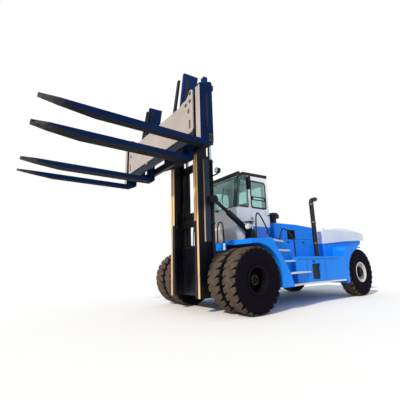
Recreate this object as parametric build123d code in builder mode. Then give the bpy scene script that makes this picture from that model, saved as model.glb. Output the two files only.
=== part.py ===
from build123d import *
import math
import os

os.makedirs("parts", exist_ok=True)

# Heavy diesel forklift, millimetres. X forward, Y to the truck's left, Z up, ground at Z = 0.
# Side profiles are drawn from the drive axle: (distance ahead of the axle, height above ground).

# Reach and wheels
WHEELBASE = 5740
FORK_REACH = 5090
TAIL_OVERHANG = 1190
TAIL_REACH = WHEELBASE + TAIL_OVERHANG
STEER_X = -WHEELBASE
DRIVE_X = (TAIL_REACH - FORK_REACH) / 2
TYRE_D = 1670
TYRE_W = 500
AXLE_Z = TYRE_D / 2
SIDES = 26
RIM_R = 330
BORE_CLEAR = 0.4
TWIN_OUT_Y = 1720
TWIN_IN_Y = 1136
STEER_TYRE_Y = 1425
SPINDLE_R = 110
KINGPIN_Y = 1090
KINGPIN_R = 70

# Tyre tread: one slanted groove per side of the tyre at each shoulder
BEAD_SHARE = 0.82
WIDEST_SHARE = 0.66
SHOULDER_SHARE = 0.86
LUG_DEPTH = 60
GROOVE_W = 100
GROOVE_LEAN = 52
GROOVE_IN = 50

# Mast
MAST_REAR = 470
MAST_DEPTH = 460
MAST_HALF = 740
FLANGE_T = 60
FLANGE_W = 210
WEB_T = 50
MAST_BOTTOM = 380
OUTER_TOP = 4350
LIFT_DOWN = 1910
LIFT_UP = 250
PAD_GAP = 0.5
INNER_PLAY = 10
INNER_FLANGE_T = 55
INNER_WEB_T = 45
CROSSHEAD_H = 110
CROSSHEAD_GAP = 60
INNER_TOP = OUTER_TOP + CROSSHEAD_GAP + CROSSHEAD_H + LIFT_DOWN
INNER_BOTTOM = MAST_BOTTOM + 60 + LIFT_DOWN
PIVOT_X = 330
PIVOT_Z = 620
PIVOT_R = 60
LIFT_CYL_X = 370
LIFT_CYL_Y = 610
LIFT_CYL_R = 85
LIFT_ROD_R = 55
LIFT_CYL_FOOT = 1000

# Tilt cylinders: barrel pin on the deck, rod pin on the mast
TILT_Y = 990
TILT_BARREL_X = -760
TILT_BARREL_Z = 2140
TILT_ROD_X = 560
TILT_ROD_Z = 3000
TILT_PIN_R = 45
TILT_EYE_BORE = 66
TILT_EYE_R = 110
TILT_EYE_W = 110
TILT_CYL_R = 85
TILT_ROD_R = 50

# Carriage and forks (as raised in the photo)
FORK_Z = 3870
FORK_T = 135
FORK_W = 305
FORK_TIP_T = 28
OUTER_FORK_W = 170
BEAM_REAR = 1300
BEAM_FRONT = 1400
APRON_X = 1860
APRON_T = 30
APRON_HALF = 1960
INNER_FORK_Y = APRON_HALF - 851
OUTER_FORK_Y = APRON_HALF + 220
OUTER_SHANK_X = 1530
OUTER_SHANK_T = 370
INNER_SHANK_T = 140

# Frame and body
FRAME_IN = 600
FRAME_OUT = 680
DECK_Z = 1900
SPONSON_Z = 1410
SILL_Z = 600
SPONSON_Y = 1720
FENDER_Y = 1970
FENDER_IN = 890
ARCH_R = 920
STEP_Y = 1560
MUD_WALL_X = STEER_X + 1150
MUD_WALL_T = 60
HOOD_FRONT = -1850
HOOD_REAR = MUD_WALL_X + 540
HOOD_SPLIT = HOOD_FRONT + 0.5045 * (HOOD_REAR - HOOD_FRONT)
HOOD_HALF = 1000
HOOD_TOP = 2500
HOOD_WALL = 50
HOOD_END_Z = 2390
LID_GAP = 5
LID_SEAT = 0.5
SPINE_HALF = 370
SPINE_Z = 1120

# Cab
CAB_HALF = 880
CAB_WALL = 60
CAB_REAR = -1810
CAB_FLOOR = DECK_Z
DOOR_FRONT = -945
DOOR_REAR = -1735
DOOR_GAP = 5
DOOR_TOP = 3880
WINDOW_SILL = 2950
WINDOW_TOP = 3800
PANE_T = 10
PANE_LAP = 30
CORNER_R = 60


def side(y):
    """Vertical plane at y, drawn in (distance ahead of the drive axle, height)."""
    return Plane(origin=(DRIVE_X, y, 0), x_dir=(1, 0, 0), z_dir=(0, -1, 0))


def front(x):
    """Vertical plane at x ahead of the drive axle, drawn in (Y, height)."""
    return Plane(origin=(DRIVE_X + x, 0, 0), x_dir=(0, 1, 0), z_dir=(1, 0, 0))


def level(z):
    """Level plane at height z, drawn in (distance ahead of the drive axle, Y)."""
    return Plane(origin=(DRIVE_X, 0, z), x_dir=(1, 0, 0), z_dir=(0, 0, 1))


def slab(points, y_out, y_in):
    """Add a side profile between two distances from the middle plane."""
    with BuildSketch(side(y_out)) as profile:
        Polygon(*points, align=None)
    extrude(profile.sketch, amount=y_out - y_in)


def both_slabs(points, y_out, y_in):
    """Add a side profile on the left and on the right."""
    slab(points, y_out, y_in)
    slab(points, -y_in, -y_out)


def rect(x0, x1, z0, z1):
    """Corners of a rectangle."""
    return [(x0, z0), (x1, z0), (x1, z1), (x0, z1)]


def rod(x, z, radius, y_out, y_in, mode=Mode.ADD):
    """Add a round bar that lies across the truck."""
    with BuildSketch(side(y_out)) as profile:
        with Locations((x, z)):
            Circle(radius)
    extrude(profile.sketch, amount=y_out - y_in, mode=mode)


def window(points, radius, y_out, y_in, lap=0, mode=Mode.SUBTRACT):
    """Cut, or with a lap add, a side outline with rounded corners."""
    with BuildSketch(side(y_out)) as profile:
        Polygon(*points, align=None)
        fillet(profile.vertices(), radius)
        if lap:
            offset(amount=lap, mode=Mode.REPLACE)
    extrude(profile.sketch, amount=y_out - y_in, mode=mode)


# Tyre: a sector with a flat at the bottom and its two grooves, repeated round the axle
TYRE_R = TYRE_D / 2
HALF_PITCH = math.tan(math.pi / SIDES)
TYRE_BORE = RIM_R + BORE_CLEAR
with BuildPart() as tyre_sector:
    with BuildSketch(Plane.YZ):
        with BuildLine():
            Polyline(
                (0, -TYRE_BORE),
                (BEAD_SHARE * TYRE_W / 2, -TYRE_BORE),
                (TYRE_W / 2, -WIDEST_SHARE * TYRE_R),
                (SHOULDER_SHARE * TYRE_W / 2, -TYRE_R),
                (0, -TYRE_R),
                close=True,
            )
        make_face()
        mirror(about=Plane.YZ)
    extrude(amount=1.1 * TYRE_R * HALF_PITCH, both=True)
    with BuildSketch(Plane.XZ):
        Polygon(
            (0, 0),
            (-1.2 * TYRE_R * HALF_PITCH, -1.2 * TYRE_R),
            (1.2 * TYRE_R * HALF_PITCH, -1.2 * TYRE_R),
            align=None,
        )
    extrude(amount=TYRE_W, both=True, mode=Mode.INTERSECT)
    for way in (1, -1):
        with BuildSketch(Plane.XY.offset(LUG_DEPTH - TYRE_R)):
            Polygon(
                (way * (GROOVE_LEAN - GROOVE_W / 2), way * TYRE_W / 2),
                (way * (GROOVE_LEAN + GROOVE_W / 2), way * TYRE_W / 2),
                (-way * GROOVE_LEAN, way * GROOVE_IN),
                align=None,
            )
        extrude(amount=-2 * LUG_DEPTH, mode=Mode.SUBTRACT)
with BuildPart() as tyre:
    with Locations(*[Location((0, 0, 0), (0, 360 * k / SIDES, 0)) for k in range(SIDES)]):
        add(tyre_sector.part)

with BuildPart() as drive_tyres_left:
    with Locations((DRIVE_X, TWIN_OUT_Y, AXLE_Z), (DRIVE_X, TWIN_IN_Y, AXLE_Z)):
        add(tyre.part)
with BuildPart() as drive_tyres_right:
    mirror(drive_tyres_left.part, about=Plane.XZ)
with BuildPart() as steer_tyre_left:
    with Locations((DRIVE_X - WHEELBASE, STEER_TYRE_Y, AXLE_Z)):
        add(tyre.part)
with BuildPart() as steer_tyre_right:
    mirror(steer_tyre_left.part, about=Plane.XZ)

# Rims: many-sided barrel, disc and hub, with a round bearing bore: (outer radius, inner radius, from Y, to Y)
RIM_IN = RIM_R - 30
RIM_SPAN = BEAD_SHARE * TYRE_W / 2
DRIVE_DISC_Y = TWIN_OUT_Y - 250
DRIVE_RIM = (
    (RIM_R, RIM_IN, TWIN_IN_Y - RIM_SPAN, TWIN_OUT_Y + RIM_SPAN),
    (RIM_IN + 5, 0, DRIVE_DISC_Y - 30, DRIVE_DISC_Y + 30),
    (200, 0, DRIVE_DISC_Y + 30, DRIVE_DISC_Y + 250),
    (160, 0, DRIVE_DISC_Y + 250, DRIVE_DISC_Y + 330),
)
STEER_DISC_Y = STEER_TYRE_Y + 110
STEER_RIM = (
    (RIM_R, RIM_IN, STEER_TYRE_Y - RIM_SPAN, STEER_TYRE_Y + RIM_SPAN),
    (RIM_IN + 5, 0, STEER_DISC_Y - 25, STEER_DISC_Y + 25),
    (170, 0, STEER_DISC_Y - 95, STEER_DISC_Y - 25),
    (170, 0, STEER_DISC_Y + 25, STEER_DISC_Y + 85),
    (140, 0, STEER_DISC_Y + 85, STEER_DISC_Y + 125),
)
STEER_SPINDLE_R = SPINDLE_R - 20


def rim(rows, axle_x, bore_r, bore_from, bore_to):
    """Add the coaxial steps of a rim and cut the bearing bore."""
    for outer, inner, y_in, y_out in rows:
        with BuildSketch(side(y_out)) as ring:
            with Locations((axle_x, AXLE_Z)):
                RegularPolygon(outer, SIDES, major_radius=False)
                if inner:
                    RegularPolygon(inner, SIDES, major_radius=False, mode=Mode.SUBTRACT)
        extrude(ring.sketch, amount=y_out - y_in)
    rod(axle_x, AXLE_Z, bore_r, bore_to, bore_from, mode=Mode.SUBTRACT)


with BuildPart() as drive_rims_left:
    rim(DRIVE_RIM, 0, SPINDLE_R + BORE_CLEAR, DRIVE_DISC_Y - 30, DRIVE_DISC_Y + 235)
with BuildPart() as drive_rims_right:
    mirror(drive_rims_left.part, about=Plane.XZ)
with BuildPart() as steer_rim_left:
    rim(STEER_RIM, STEER_X, STEER_SPINDLE_R + BORE_CLEAR, STEER_DISC_Y - 95, STEER_DISC_Y + 70)
with BuildPart() as steer_rim_right:
    mirror(steer_rim_left.part, about=Plane.XZ)

# Main frame: two deep side plates, a deck and a belly plate, mast pivot pins at the front
AXLE_TUBE_R = 180
FRAME_SIDE = [
    (PIVOT_X + 85, PIVOT_Z - 85),
    (PIVOT_X + 85, PIVOT_Z + 85),
    (PIVOT_X - 30, PIVOT_Z + 140),
    (240, 900),
    (60, 1180),
    (60, SPONSON_Z),
    (MUD_WALL_X, SPONSON_Z),
    (MUD_WALL_X, 640),
    (-900, 640),
    (-300, 560),
]
with BuildPart() as main_frame:
    both_slabs(FRAME_SIDE, FRAME_OUT, FRAME_IN)
    slab(rect(MUD_WALL_X, 60, SPONSON_Z - 40, SPONSON_Z), FRAME_IN, -FRAME_IN)
    slab(rect(MUD_WALL_X, -520, 640, 680), FRAME_IN, -FRAME_IN)
    slab(rect(10, 60, 1180, SPONSON_Z - 40), FRAME_IN, -FRAME_IN)
    slab(rect(-560, -520, 680, SPONSON_Z - 40), FRAME_IN, -FRAME_IN)
    slab(rect(MUD_WALL_X, MUD_WALL_X + 50, 680, SPONSON_Z - 40), FRAME_IN, -FRAME_IN)
    rod(0, AXLE_Z, AXLE_TUBE_R + BORE_CLEAR, FRAME_OUT, -FRAME_OUT, mode=Mode.SUBTRACT)
    rod(PIVOT_X, PIVOT_Z, PIVOT_R, MAST_HALF, MAST_HALF - FLANGE_W)
    rod(PIVOT_X, PIVOT_Z, PIVOT_R, FLANGE_W - MAST_HALF, -MAST_HALF)

# Drive axle: tube with a boxed differential housing and the wheel spindles
HOUSING = 320
with BuildPart() as drive_axle:
    with BuildSketch(side(0)):
        with Locations((0, AXLE_Z)):
            RegularPolygon(HOUSING, 8, major_radius=False)
    extrude(amount=300, both=True)
    chamfer(faces().filter_by(Axis.Y).edges(), 80)
    rod(0, AXLE_Z, AXLE_TUBE_R, 890, -890)
    rod(0, AXLE_Z, SPINDLE_R, DRIVE_DISC_Y + 230, -DRIVE_DISC_Y - 230)

# Steer axle: beam with yokes, saddle and steering cylinder
BEAM_HALF = 140
KNUCKLE_H = 150
EAR_T = 80
with BuildPart() as steer_axle:
    slab(rect(STEER_X - BEAM_HALF, STEER_X + BEAM_HALF, AXLE_Z - 130, AXLE_Z + 130), 950, -950)
    for way in (1, -1):
        with BuildSketch(level(AXLE_Z + KNUCKLE_H + 5)):
            with Locations((STEER_X, way * KINGPIN_Y)):
                Circle(115)
            with Locations((STEER_X, way * (KINGPIN_Y - 120))):
                Rectangle(200, 240)
        extrude(amount=EAR_T)
        with BuildSketch(level(AXLE_Z - KNUCKLE_H - 5)):
            with Locations((STEER_X, way * KINGPIN_Y)):
                Circle(115)
            with Locations((STEER_X, way * (KINGPIN_Y - 120))):
                Rectangle(200, 240)
        extrude(amount=-EAR_T)
        with BuildSketch(level(AXLE_Z - KNUCKLE_H - EAR_T - 5)):
            with Locations((STEER_X, way * (KINGPIN_Y - 190))):
                Rectangle(200, 100)
        extrude(amount=2 * (KNUCKLE_H + EAR_T + 5))
        with BuildSketch(level(AXLE_Z - 400)):
            with Locations((STEER_X, way * KINGPIN_Y)):
                Circle(KINGPIN_R + BORE_CLEAR)
        extrude(amount=800, mode=Mode.SUBTRACT)
    slab(rect(STEER_X - 200, STEER_X + 200, AXLE_Z + 130, SPINE_Z), 200, -200)
    rod(STEER_X - BEAM_HALF - 70, AXLE_Z, 80, 340, -340)
    slab(rect(STEER_X - BEAM_HALF - 60, STEER_X - BEAM_HALF, AXLE_Z - 60, AXLE_Z + 60), 250, -250)

with BuildPart() as knuckle_left:
    with BuildSketch(level(AXLE_Z - KNUCKLE_H)):
        with Locations((STEER_X, KINGPIN_Y)):
            Circle(110)
    extrude(amount=2 * KNUCKLE_H)
    with BuildSketch(level(AXLE_Z - KNUCKLE_H - EAR_T - 5)):
        with Locations((STEER_X, KINGPIN_Y)):
            Circle(KINGPIN_R)
    extrude(amount=2 * (KNUCKLE_H + EAR_T + 5))
    rod(STEER_X, AXLE_Z, STEER_SPINDLE_R, STEER_DISC_Y + 65, KINGPIN_Y)
with BuildPart() as knuckle_right:
    mirror(knuckle_left.part, about=Plane.XZ)

# Front fenders over the rear half of the twin tyres, each with a lamp shelf beside the mast
FENDER_FRONT = 200
FENDER = [
    (FENDER_FRONT, 1855),
    (-170, 1870),
    (-560, DECK_Z),
    (-690, 1730),
    (-970, 1360),
    (-1210, 990),
    (-1350, SILL_Z),
    (-600, SILL_Z),
    (-600, 1400),
    (FENDER_FRONT, 1700),
]
SHELF_FRONT = 470
SHELF_Z = 1790
SHELF = [
    (FENDER_FRONT - 50, SHELF_Z - 50),
    (SHELF_FRONT - 30, SHELF_Z - 50),
    (SHELF_FRONT - 30, SHELF_Z - 200),
    (SHELF_FRONT, SHELF_Z - 200),
    (SHELF_FRONT, SHELF_Z),
    (FENDER_FRONT - 50, SHELF_Z),
]
with BuildPart() as fender_left:
    slab(FENDER, FENDER_Y, FENDER_IN)
    rod(0, AXLE_Z, ARCH_R, FENDER_Y, FENDER_IN, mode=Mode.SUBTRACT)
    slab(SHELF, FENDER_IN + 390, FENDER_IN)
with BuildPart() as fender_right:
    mirror(fender_left.part, about=Plane.XZ)

# Sponsons: deck tower and stair flank behind the fender, long tank box with a hatch recess behind them
FENDER_EDGE = FENDER[2:7]
STAIR_TOP_X = HOOD_FRONT + 330
STAIR_FOOT_X = HOOD_FRONT - 135
BOX_LENGTH = HOOD_FRONT - MUD_WALL_X
HATCH_FRONT = HOOD_FRONT - 0.277 * BOX_LENGTH
HATCH_REAR = HOOD_FRONT - 0.438 * BOX_LENGTH
with BuildPart() as sponson_left:
    slab([*FENDER_EDGE, (HOOD_FRONT, SILL_Z), (HOOD_FRONT, DECK_Z)], HOOD_HALF, FRAME_OUT)
    slab(
        [
            *FENDER_EDGE,
            (HOOD_FRONT, SILL_Z),
            (HOOD_FRONT, SPONSON_Z),
            (STAIR_FOOT_X, SPONSON_Z),
            (STAIR_TOP_X, DECK_Z),
        ],
        STEP_Y,
        HOOD_HALF,
    )
    slab(rect(MUD_WALL_X, HOOD_FRONT, SILL_Z, SPONSON_Z), SPONSON_Y, FRAME_OUT)
    window(rect(HATCH_REAR, HATCH_FRONT, SILL_Z + 120, SPONSON_Z - 220), 30, SPONSON_Y, SPONSON_Y - 60)
with BuildPart() as sponson_right:
    mirror(sponson_left.part, about=Plane.XZ)

# Step treads taper from the fender's side back to the flank: (rear end, Y at the rear end, height of the top)
STEPS = (
    (HOOD_FRONT - 750, SPONSON_Y + 25, SILL_Z + 50),
    (HOOD_FRONT - 680, SPONSON_Y + 5, 970),
    (HOOD_FRONT, SPONSON_Y - 30, 1300),
    (HOOD_FRONT + 50, STEP_Y + 20, 1600),
    (STAIR_TOP_X - 10, STEP_Y + 20, DECK_Z - 30),
)
STEP_T = 40


def edge_x(z):
    """Where the fender's rear edge lies at height z."""
    for (x_high, z_high), (x_low, z_low) in zip(FENDER_EDGE, FENDER_EDGE[1:]):
        if z_low <= z <= z_high:
            return x_low + (x_high - x_low) * (z - z_low) / (z_high - z_low)
    return FENDER_EDGE[-1][0]


with BuildPart() as step_treads:
    for step_rear, y_rear, top in STEPS:
        with BuildSketch(level(top)):
            Polygon(
                (edge_x(top) + 30, STEP_Y),
                (edge_x(top) + 30, FENDER_Y),
                (edge_x(top), FENDER_Y),
                (step_rear, y_rear),
                (step_rear, STEP_Y),
                align=None,
            )
        extrude(amount=-STEP_T)
    slab(rect(MUD_WALL_X + 140, HOOD_FRONT - 700, SILL_Z, SILL_Z + 50), SPONSON_Y + 25, SPONSON_Y)
    add(fender_left.part, mode=Mode.SUBTRACT)
    add(sponson_left.part, mode=Mode.SUBTRACT)
    mirror(about=Plane.XZ)

# Counterweight: blue lower casting, wheel-arch walls and white cap with bevelled upper edges
CAP_HALF = 1330
CAP_LOW_X = STEER_X + 300
CAP_LOW_Z = 1970
CAP_TAIL_Z = 2050
CAP_TOP_Z = 2520
CAP_BEVEL = 170
ARCH_TOP_Z = 1745


def cap_low_z(x):
    """Height of the cap's rising lower edge behind its low point."""
    return CAP_LOW_Z + (CAP_TAIL_Z - CAP_LOW_Z) * (CAP_LOW_X - x) / (CAP_LOW_X + TAIL_REACH)


CAP = [
    (HOOD_REAR, 1860),
    (HOOD_REAR, 2290),
    (HOOD_REAR - 780, 2380),
    (STEER_X + 90, CAP_TOP_Z),
    (590 - TAIL_REACH, CAP_TOP_Z - 20),
    (-TAIL_REACH, 2280),
    (-TAIL_REACH, CAP_TAIL_Z),
    (CAP_LOW_X, CAP_LOW_Z),
]
LOWER_TAIL = 230 - TAIL_REACH
LOWER = [
    (HOOD_REAR, SPONSON_Z),
    (HOOD_REAR, 1860),
    (CAP_LOW_X, CAP_LOW_Z),
    (LOWER_TAIL, cap_low_z(LOWER_TAIL)),
    (LOWER_TAIL, 1900),
    (STEER_X - 560, ARCH_TOP_Z),
    (MUD_WALL_X - 120, ARCH_TOP_Z),
    (MUD_WALL_X, 1600),
    (MUD_WALL_X, SPONSON_Z),
]
ARCH_WALL = [
    (MUD_WALL_X, 510),
    (MUD_WALL_X, 1600),
    (MUD_WALL_X - 120, ARCH_TOP_Z),
    (STEER_X + 540, ARCH_TOP_Z),
    (STEER_X + 540, ARCH_TOP_Z - 55),
    (MUD_WALL_X - 150, ARCH_TOP_Z - 55),
    (MUD_WALL_X - MUD_WALL_T, 1560),
    (MUD_WALL_X - MUD_WALL_T, 510),
]
SPINE_REAR = STEER_X - 760
with BuildPart() as counterweight:
    slab(LOWER, CAP_HALF - 40, 40 - CAP_HALF)
    slab(rect(SPINE_REAR, MUD_WALL_X, SPINE_Z, ARCH_TOP_Z), SPINE_HALF, -SPINE_HALF)
    slab(rect(MUD_WALL_X - MUD_WALL_T, MUD_WALL_X, 640, 1700), SPINE_HALF, -SPINE_HALF)
    both_slabs(ARCH_WALL, SPONSON_Y, SPINE_HALF)
with BuildPart() as counterweight_cap:
    slab(CAP, CAP_HALF, -CAP_HALF)
    with BuildSketch(front(-TAIL_REACH)):
        with BuildLine():
            Polyline(
                (0, CAP_TOP_Z),
                (CAP_HALF - 2 * CAP_BEVEL, CAP_TOP_Z),
                (CAP_HALF, CAP_TOP_Z - CAP_BEVEL),
                (CAP_HALF, 1800),
                (0, 1800),
                close=True,
            )
        make_face()
        mirror(about=Plane.YZ)
    extrude(amount=TAIL_REACH + HOOD_REAR, mode=Mode.INTERSECT)
    for y in (420, -420):
        with BuildSketch(side(y + 30)):
            with Locations((STEER_X + 150, CAP_TOP_Z - 20)):
                SlotCenterToCenter(70, 120, rotation=90)
                Circle(28, mode=Mode.SUBTRACT)
        extrude(amount=60)

# Tow clevis on the rear of the spine: plate and two ears with a cross bore for a stranger's pin
TOW_Z = SPINE_Z + 250
TOW_X = SPINE_REAR - 90
TOW_PIN_R = 25
EAR_GAP = 100
TOW_EAR_T = 40
EAR_OUT = EAR_GAP / 2 + TOW_EAR_T
with BuildPart() as tow_clevis:
    slab(rect(SPINE_REAR - 30, SPINE_REAR, TOW_Z - 150, TOW_Z + 150), 150, -150)
    for outer in (EAR_OUT, -EAR_GAP / 2):
        slab(rect(TOW_X - 60, SPINE_REAR - 30, TOW_Z - 80, TOW_Z + 80), outer, outer - TOW_EAR_T)
    with BuildSketch(side(EAR_OUT + 60)):
        with Locations((TOW_X, TOW_Z)):
            Circle(TOW_PIN_R)
    extrude(amount=2 * EAR_OUT + 120, mode=Mode.SUBTRACT)

# Engine hood: fixed cowl with side walls, and the hinged lid


def hood_edge_z(x):
    """Height of the hood's sloped upper edge, which carries the lid."""
    rise = HOOD_TOP - HOOD_WALL - LID_SEAT - HOOD_END_Z
    return HOOD_END_Z + rise * (x - HOOD_REAR) / (HOOD_SPLIT - HOOD_REAR)


LID_FRONT = HOOD_SPLIT - LID_GAP
LID_REAR = HOOD_REAR + 10
LID_HINGE_X = LID_REAR - 12
LID_HINGE_Z = hood_edge_z(LID_REAR) + LID_SEAT + 25
GRILLE_FRONT = HOOD_FRONT - 0.56 * (HOOD_FRONT - HOOD_SPLIT)
GRILLE_REAR = HOOD_FRONT - 0.94 * (HOOD_FRONT - HOOD_SPLIT)
GRILLE_LOW = 1980
GRILLE_HIGH = 2310
GRILLE_LIP = 20
with BuildPart() as engine_hood:
    slab(
        [
            (HOOD_FRONT, SPONSON_Z),
            (HOOD_FRONT, HOOD_TOP),
            (HOOD_SPLIT, HOOD_TOP),
            (HOOD_SPLIT, hood_edge_z(HOOD_SPLIT)),
            (HOOD_REAR, hood_edge_z(HOOD_REAR)),
            (HOOD_REAR, SPONSON_Z),
        ],
        HOOD_HALF,
        -HOOD_HALF,
    )
    with BuildSketch(side(HOOD_HALF - HOOD_WALL)):
        Polygon(
            (HOOD_FRONT - HOOD_WALL, SPONSON_Z),
            (HOOD_FRONT - HOOD_WALL, HOOD_TOP - HOOD_WALL),
            (HOOD_SPLIT + 60, HOOD_TOP - HOOD_WALL),
            (HOOD_SPLIT + 60, HOOD_TOP - 2 * HOOD_WALL - 40),
            (HOOD_SPLIT, HOOD_TOP - 2 * HOOD_WALL - 40),
            (HOOD_SPLIT, HOOD_TOP),
            (HOOD_REAR + HOOD_WALL, HOOD_TOP),
            (HOOD_REAR + HOOD_WALL, SPONSON_Z),
            align=None,
        )
    extrude(amount=2 * (HOOD_HALF - HOOD_WALL), mode=Mode.SUBTRACT)
    with BuildSketch(side(HOOD_HALF)):
        Polygon(*rect(GRILLE_REAR, GRILLE_FRONT, GRILLE_LOW, GRILLE_HIGH), align=None)
    extrude(amount=2 * HOOD_HALF, mode=Mode.SUBTRACT)
with BuildPart() as hood_lid:
    slab(
        [
            (LID_FRONT, hood_edge_z(LID_FRONT) + LID_SEAT + HOOD_WALL),
            (LID_FRONT, hood_edge_z(LID_FRONT) + LID_SEAT),
            (LID_REAR, hood_edge_z(LID_REAR) + LID_SEAT),
            (LID_REAR, hood_edge_z(LID_REAR) + LID_SEAT + HOOD_WALL),
        ],
        HOOD_HALF,
        -HOOD_HALF,
    )
    rod(LID_HINGE_X, LID_HINGE_Z, 18, HOOD_HALF - 60, 60 - HOOD_HALF)

# Side grilles in the cowl: a frame with sloping slats
SLATS = 8
SLAT_STEP = (GRILLE_HIGH - GRILLE_LOW - 2 * GRILLE_LIP) / SLATS
with BuildPart() as hood_grille:
    slab(rect(GRILLE_REAR, GRILLE_FRONT, GRILLE_LOW, GRILLE_HIGH), HOOD_HALF, HOOD_HALF - HOOD_WALL)
    with BuildSketch(side(HOOD_HALF)):
        Polygon(
            *rect(
                GRILLE_REAR + GRILLE_LIP,
                GRILLE_FRONT - GRILLE_LIP,
                GRILLE_LOW + GRILLE_LIP,
                GRILLE_HIGH - GRILLE_LIP,
            ),
            align=None,
        )
    extrude(amount=HOOD_WALL, mode=Mode.SUBTRACT)
    for k in range(SLATS):
        low = GRILLE_LOW + GRILLE_LIP + k * SLAT_STEP
        with BuildSketch(front(GRILLE_REAR + GRILLE_LIP)):
            Polygon(
                (HOOD_HALF - 2, low + 2),
                (HOOD_HALF - 2, low + 10),
                (HOOD_HALF - HOOD_WALL + 2, low + SLAT_STEP - 2),
                (HOOD_HALF - HOOD_WALL + 2, low + SLAT_STEP - 10),
                align=None,
            )
        extrude(amount=GRILLE_FRONT - GRILLE_REAR - 2 * GRILLE_LIP)
    mirror(about=Plane.XZ)

HOOD_LENGTH = HOOD_FRONT - HOOD_REAR
with BuildPart() as engine_block:
    slab(rect(HOOD_REAR + 150, HOOD_FRONT - 250, SPONSON_Z, 2250), 420, -420)

# Exhaust stack on the left deck, and air intake on the hood
STACK_X = HOOD_FRONT - 0.7136 * HOOD_LENGTH
STACK_Y = (HOOD_HALF + SPONSON_Y) / 2 + 40
STACK_R = 75
STACK_BEND_Z = 3330
INTAKE_X = HOOD_FRONT - 0.2636 * HOOD_LENGTH
INTAKE_Y = HOOD_HALF / 2
INTAKE_H = 430
with BuildPart() as exhaust_stack:
    with BuildSketch(level(SPONSON_Z)):
        with Locations((STACK_X, STACK_Y)):
            Rectangle(260, 260)
    extrude(amount=30)
    with BuildLine() as stack_path:
        FilletPolyline(
            (DRIVE_X + STACK_X, STACK_Y, SPONSON_Z + 30),
            (DRIVE_X + STACK_X, STACK_Y, STACK_BEND_Z),
            (DRIVE_X + STACK_X - 280, STACK_Y, STACK_BEND_Z + 70),
            radius=120,
        )
    with BuildSketch(Plane(origin=stack_path.line @ 0, z_dir=stack_path.line % 0)):
        Circle(STACK_R)
    sweep()
    with BuildSketch(Plane(origin=stack_path.line @ 1, z_dir=stack_path.line % 1)):
        Circle(STACK_R - 8)
    extrude(amount=-90, mode=Mode.SUBTRACT)
with BuildPart() as air_intake:
    with BuildSketch(Plane(origin=(DRIVE_X + INTAKE_X, INTAKE_Y, HOOD_TOP), x_dir=(1, 0, 0), z_dir=(0, -1, 0))):
        Polygon(
            (0, 0),
            (110, 0),
            (110, INTAKE_H - 180),
            (210, INTAKE_H - 180),
            (210, INTAKE_H - 70),
            (150, INTAKE_H),
            (0, INTAKE_H),
            align=None,
        )
    revolve(axis=Axis((DRIVE_X + INTAKE_X, INTAKE_Y, 0), (0, 0, 1)))

# Cab shell, hollow, with window openings and a doorway on the left
CAB = [
    (CAB_REAR, CAB_FLOOR),
    (-650, CAB_FLOOR),
    (-370, 2300),
    (-370, 2890),
    (-510, 3900),
    (-700, 4020),
    (CAB_REAR, 4060),
]
CAB_INSIDE = [
    (CAB_REAR + CAB_WALL, CAB_FLOOR + CAB_WALL),
    (-690, CAB_FLOOR + CAB_WALL),
    (-430, 2320),
    (-430, 2890),
    (-566, 3880),
    (-720, 3960),
    (CAB_REAR + CAB_WALL, 4000),
]
QUARTER = [(-450, WINDOW_SILL), (-860, WINDOW_SILL), (-860, WINDOW_TOP), (-569, WINDOW_TOP)]
SIDE_WINDOW = rect(DOOR_REAR + 65, DOOR_FRONT - 75, WINDOW_SILL, WINDOW_TOP)
SCREEN_HALF = 760
SCREEN_SILL = 2930
SCREEN_TOP = 3830
REAR_HALF = 640
with BuildPart() as cab_shell:
    slab(CAB, CAB_HALF, -CAB_HALF)
    with BuildSketch(side(CAB_HALF - CAB_WALL)):
        Polygon(*CAB_INSIDE, align=None)
    extrude(amount=2 * (CAB_HALF - CAB_WALL), mode=Mode.SUBTRACT)
    with BuildSketch(front(-300)):
        Polygon(*rect(-SCREEN_HALF, SCREEN_HALF, SCREEN_SILL, SCREEN_TOP), align=None)
    extrude(amount=-400, mode=Mode.SUBTRACT)
    with BuildSketch(front(CAB_REAR - 50)):
        Polygon(*rect(-REAR_HALF, REAR_HALF, WINDOW_SILL, WINDOW_TOP), align=None)
    extrude(amount=200, mode=Mode.SUBTRACT)
    for y_out in (CAB_HALF, CAB_WALL - CAB_HALF):
        window(QUARTER, CORNER_R / 2, y_out, y_out - CAB_WALL)
    window(SIDE_WINDOW, CORNER_R, CAB_WALL - CAB_HALF, -CAB_HALF)
    with BuildSketch(side(CAB_HALF)):
        Polygon(
            *rect(DOOR_REAR - DOOR_GAP, DOOR_FRONT + DOOR_GAP, CAB_FLOOR + CAB_WALL, DOOR_TOP + DOOR_GAP),
            align=None,
        )
    extrude(amount=CAB_WALL, mode=Mode.SUBTRACT)

SCREEN_LEAN = (510 - 370) / (3900 - 2890)


def screen_x(z, ahead):
    """Distance ahead of the axle of a point that stands ahead of the leaning front wall."""
    return ahead - 370 - SCREEN_LEAN * (z - 2890)


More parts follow.
